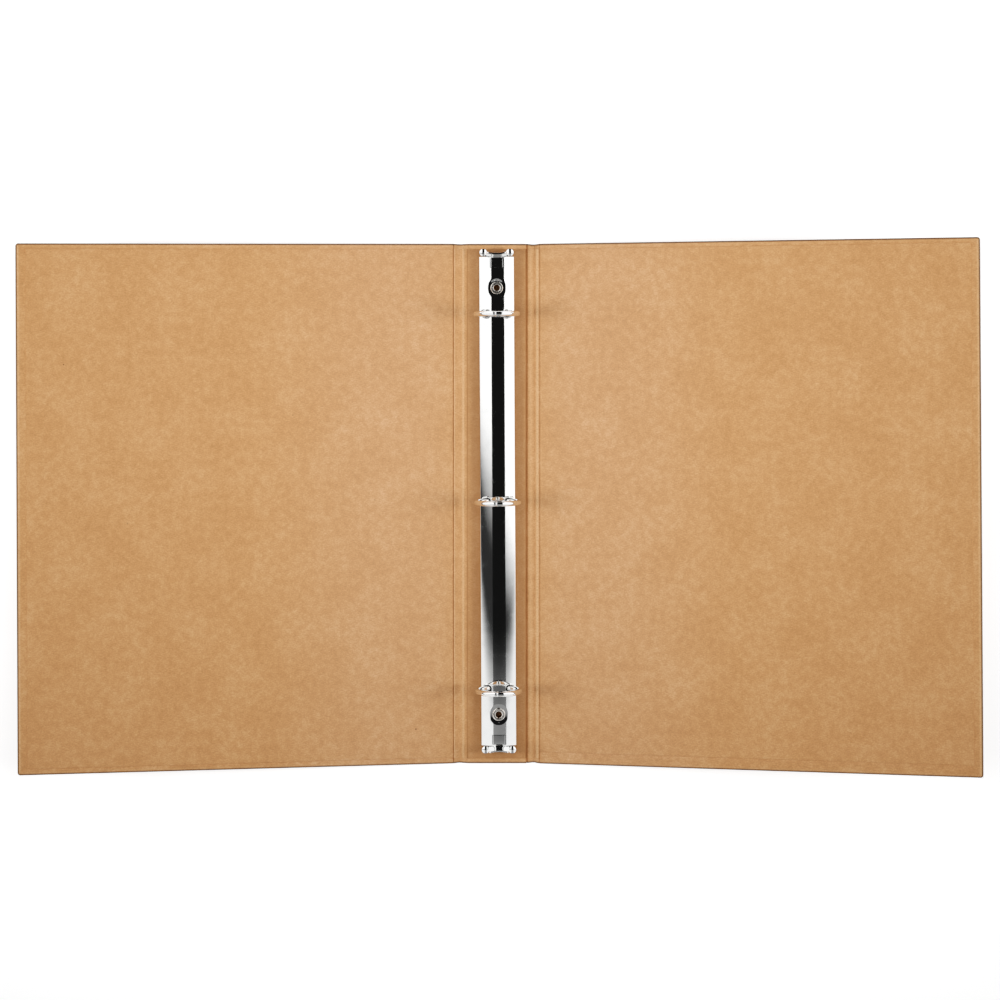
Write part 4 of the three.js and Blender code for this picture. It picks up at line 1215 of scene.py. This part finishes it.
def rivet(end, place, seed):
    """One turned profile: outer head, shank, flared collar and bore. The seed varies the flare."""
    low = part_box(f"{end}_rivet")[0]
    collar_low = PLATE_TOP - DIMPLE_DEPTH + RIVET_COLLAR_GAP
    roll = RIVET_COLLAR_ROLL
    head_top = low.z + RIVET_HEAD_HEIGHT
    bore_floor = low.z + RIVET_BORE_FLOOR
    rounding = RIVET_HEAD_ROUND
    profile = [(0, low.z), (RIVET_HEAD_RADIUS * 0.6, low.z), (RIVET_HEAD_RADIUS * 0.88, low.z + 0.03 * MM)]
    rounding_middle = (RIVET_HEAD_RADIUS - rounding, low.z + RIVET_HEAD_HEIGHT / 2)
    profile += arc(rounding_middle, rounding, -math.pi / 3, math.pi / 2, 6)
    profile += [(RIVET_SHANK_RADIUS, head_top), (RIVET_SHANK_RADIUS, collar_low)]
    profile += arc((RIVET_COLLAR_RADIUS - roll, collar_low + roll), roll, -math.pi / 2, math.pi / 2, 12)
    profile += arc((RIVET_BORE_RADIUS + roll, collar_low + roll), roll, math.pi * 0.6, math.pi, 8)
    profile += [(RIVET_BORE_RADIUS, bore_floor + 0.3 * MM), (RIVET_BORE_RADIUS * 0.7, bore_floor),
                (RIVET_BORE_RADIUS * 0.3, bore_floor - 0.3 * MM), (0, bore_floor - 0.35 * MM)]

    def wobble(radius, z, angle):
        if z < collar_low + roll or radius < RIVET_BORE_RADIUS:
            return 0.0
        around = Vector((math.cos(angle) * 1.6, math.sin(angle) * 1.6, seed))
        return RIVET_WOBBLE * noise.noise(around) * smooth(radius, RIVET_BORE_RADIUS, RIVET_COLLAR_RADIUS)

    sides = 72
    points, faces = lathe(profile, place, sides, wobble)
    bore = [1.0 if radius <= RIVET_BORE_RADIUS * 1.02 and z > bore_floor - MM else 0.0
            for radius, z in profile for i in range(sides)]
    piece = make_piece(f"{end}_rivet_metal", points, faces, RIVET_METAL, marks={"bore": bore})
    shade(piece, math.radians(50))
    settle(piece, "spine", "rivet_nickel", f"{end}_rivet")


# ---- CAD nodes that stay ------------------------------------------------------------------------------

def dress_cad_nodes():
    looks = dict.fromkeys(("spine_board", "front_cover_board", "back_cover_board"), GREYBOARD)
    looks.update(dict.fromkeys(("left_blade", "right_blade"), BLADE_STEEL))
    for name, material in looks.items():
        frame["nodes"][name].data.materials.clear()
        frame["nodes"][name].data.materials.append(material)


# ---- studio -------------------------------------------------------------------------------------------

def add_camera():
    data = bpy.data.cameras.new("camera")
    data.lens = CAMERA_LENS
    data.sensor_width = 36
    data.shift_x, data.shift_y = CAMERA_SHIFT
    data.clip_start = 0.01
    camera = bpy.data.objects.new("camera", data)
    camera.location = CAMERA_PLACE
    bpy.context.scene.collection.objects.link(camera)
    bpy.context.scene.camera = camera


def add_light(name, kind, place, power):
    data = bpy.data.lights.new(name, kind)
    data.energy = power
    light = bpy.data.objects.new(name, data)
    light.location = place
    light.visible_glossy = False
    bpy.context.scene.collection.objects.link(light)
    return light


def soft_spot(name, x):
    """A large soft lamp whose light falls off towards the outer edges of the covers."""
    place = (x, LIGHT_ALONG, LIGHT_HEIGHT)
    light = add_light(name, "SPOT", place, LIGHT_POWER)
    light.data.shadow_soft_size = LIGHT_RADIUS
    light.data.spot_size = LIGHT_CONE
    light.data.spot_blend = 1.0
    towards = Vector(LIGHT_AIM) - Vector(place)
    light.rotation_euler = towards.to_track_quat("-Z", "Y").to_euler()


def top_light():
    """A small weak panel above the spine that lifts the middle of the album."""
    light = add_light("top_light", "AREA", TOP_LIGHT_PLACE, TOP_LIGHT_POWER)
    light.data.size = TOP_LIGHT_SIZE


def sky_glow(x, y):
    """Brightness of the sky: a softbox over each cover, one across the tail, and a flag between."""
    tail = TAIL_SOFTBOX_GLOW * smooth(-y, *TAIL_SOFTBOX_EDGE)
    fan = math.hypot(1, max(abs(y) - FLAG_FAN_START, 0) / SKY_HEIGHT)
    if x < FLAG_EDGES[0] * fan:
        return SKY_DIM + LEFT_SOFTBOX_GLOW * smooth(y, *LEFT_SOFTBOX_EDGE) + tail
    if x < FLAG_EDGES[1] * fan:
        return FLAG_GLOW + FLAG_TAIL_SHARE * tail
    slanted = y + RIGHT_SOFTBOX_SLANT * (x - FLAG_EDGES[1])
    return SKY_DIM + RIGHT_SOFTBOX_GLOW * smooth(slanted, *RIGHT_SOFTBOX_EDGE) + tail


def sky_material():
    """Plain light, as bright as the glow attribute says."""
    nodes = Nodes("studio_sky")
    nodes.tree.nodes.remove(nodes.shader)
    emission = nodes.add("ShaderNodeEmission", {"Strength": nodes.attribute("glow").outputs["Fac"]})
    nodes.feed(emission.outputs[0], nodes.tree.nodes["Material Output"].inputs["Surface"])
    return nodes.material


def add_sky():
    """The studio overhead, seen only by shiny surfaces: three even softboxes and a black flag."""
    flag_lines = [edge + step for edge in FLAG_EDGES for step in (-MM, MM)]
    softbox_lines = [-0.5 + 0.01 * i for i in range(70)]
    columns = lines(-SKY_REACH, SKY_REACH, SKY_STEP, flag_lines)
    rows = lines(-SKY_REACH, SKY_REACH, SKY_STEP, softbox_lines)
    places = [(x, y, SKY_HEIGHT) for x in columns for y in rows]
    faces = [tuple(reversed(face)) for face in grid_faces(len(columns), len(rows))]
    sky = new_object("studio_sky", places, faces, sky_material())
    mark_points(sky, "glow", [sky_glow(x, y) for x, y, _ in places])
    sky.visible_camera = False
    sky.visible_diffuse = False
    sky.visible_transmission = False
    sky.visible_shadow = False
    sky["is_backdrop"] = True


def add_floor():
    nodes = Nodes("floor_white")
    looks = {"Base Color": (0.9, 0.9, 0.9, 1), "Roughness": 0.9, "Specular IOR Level": 0.0,
             "Emission Color": (1, 1, 1, 1), "Emission Strength": FLOOR_GLOW}
    for key, value in looks.items():
        nodes.feed(value, nodes.shader.inputs[key])
    corners = [(x * FLOOR_REACH, y * FLOOR_REACH, 0) for x, y in ((-1, -1), (1, -1), (1, 1), (-1, 1))]
    floor = new_object("floor", corners, [(0, 1, 2, 3)], nodes.material)
    floor.location.z = -FLOOR_DROP
    floor.visible_diffuse = False
    floor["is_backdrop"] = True


def set_tone_curve(settings):
    """The mild contrast curve of a product picture, from scene light to shown light."""
    settings.use_curve_mapping = True
    white = TONE_CURVE[-1][0]
    settings.curve_mapping.white_level = (white, white, white)
    points = settings.curve_mapping.curves[3].points
    for scene_value, shown in TONE_CURVE[1:-1]:
        points.new(scene_value / white, shown)
    settings.curve_mapping.update()


def add_studio():
    scene = bpy.context.scene
    scene.view_settings.view_transform = "Standard"
    scene.view_settings.look = "None"
    set_tone_curve(scene.view_settings)
    world = bpy.data.worlds.new("studio")
    world.use_nodes = True
    background = world.node_tree.nodes["Background"]
    background.inputs["Color"].default_value = (1, 1, 1, 1)
    background.inputs["Strength"].default_value = WORLD_STRENGTH
    scene.world = world
    soft_spot("left_light", -LIGHT_SIDE)
    soft_spot("right_light", LIGHT_SIDE)
    top_light()


add_camera()
spine_wrap()
spine_liner()
for each_cover in COVERS:
    hinge_wrap(each_cover)
    hinge_liner(each_cover)
    cover_wrap(each_cover)
    cover_liner(each_cover)
ring_plate()
for ring_number, each_y in enumerate(RING_YS, 1):
    half_ring(-1, ring_number, each_y)
    half_ring(1, ring_number, each_y)
for each_end in ("head", "tail"):
    lever(each_end)
    lever_roll(each_end, -1)
    lever_roll(each_end, 1)
rivet("head", RIVET_PLACES[0], 3.7)
rivet("tail", RIVET_PLACES[1], 9.2)
dress_cad_nodes()
add_floor()
add_studio()
add_sky()

boxes = {"cad": cad_box, "visual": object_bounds()}
{key: [list(corner) for corner in box] for key, box in boxes.items()}
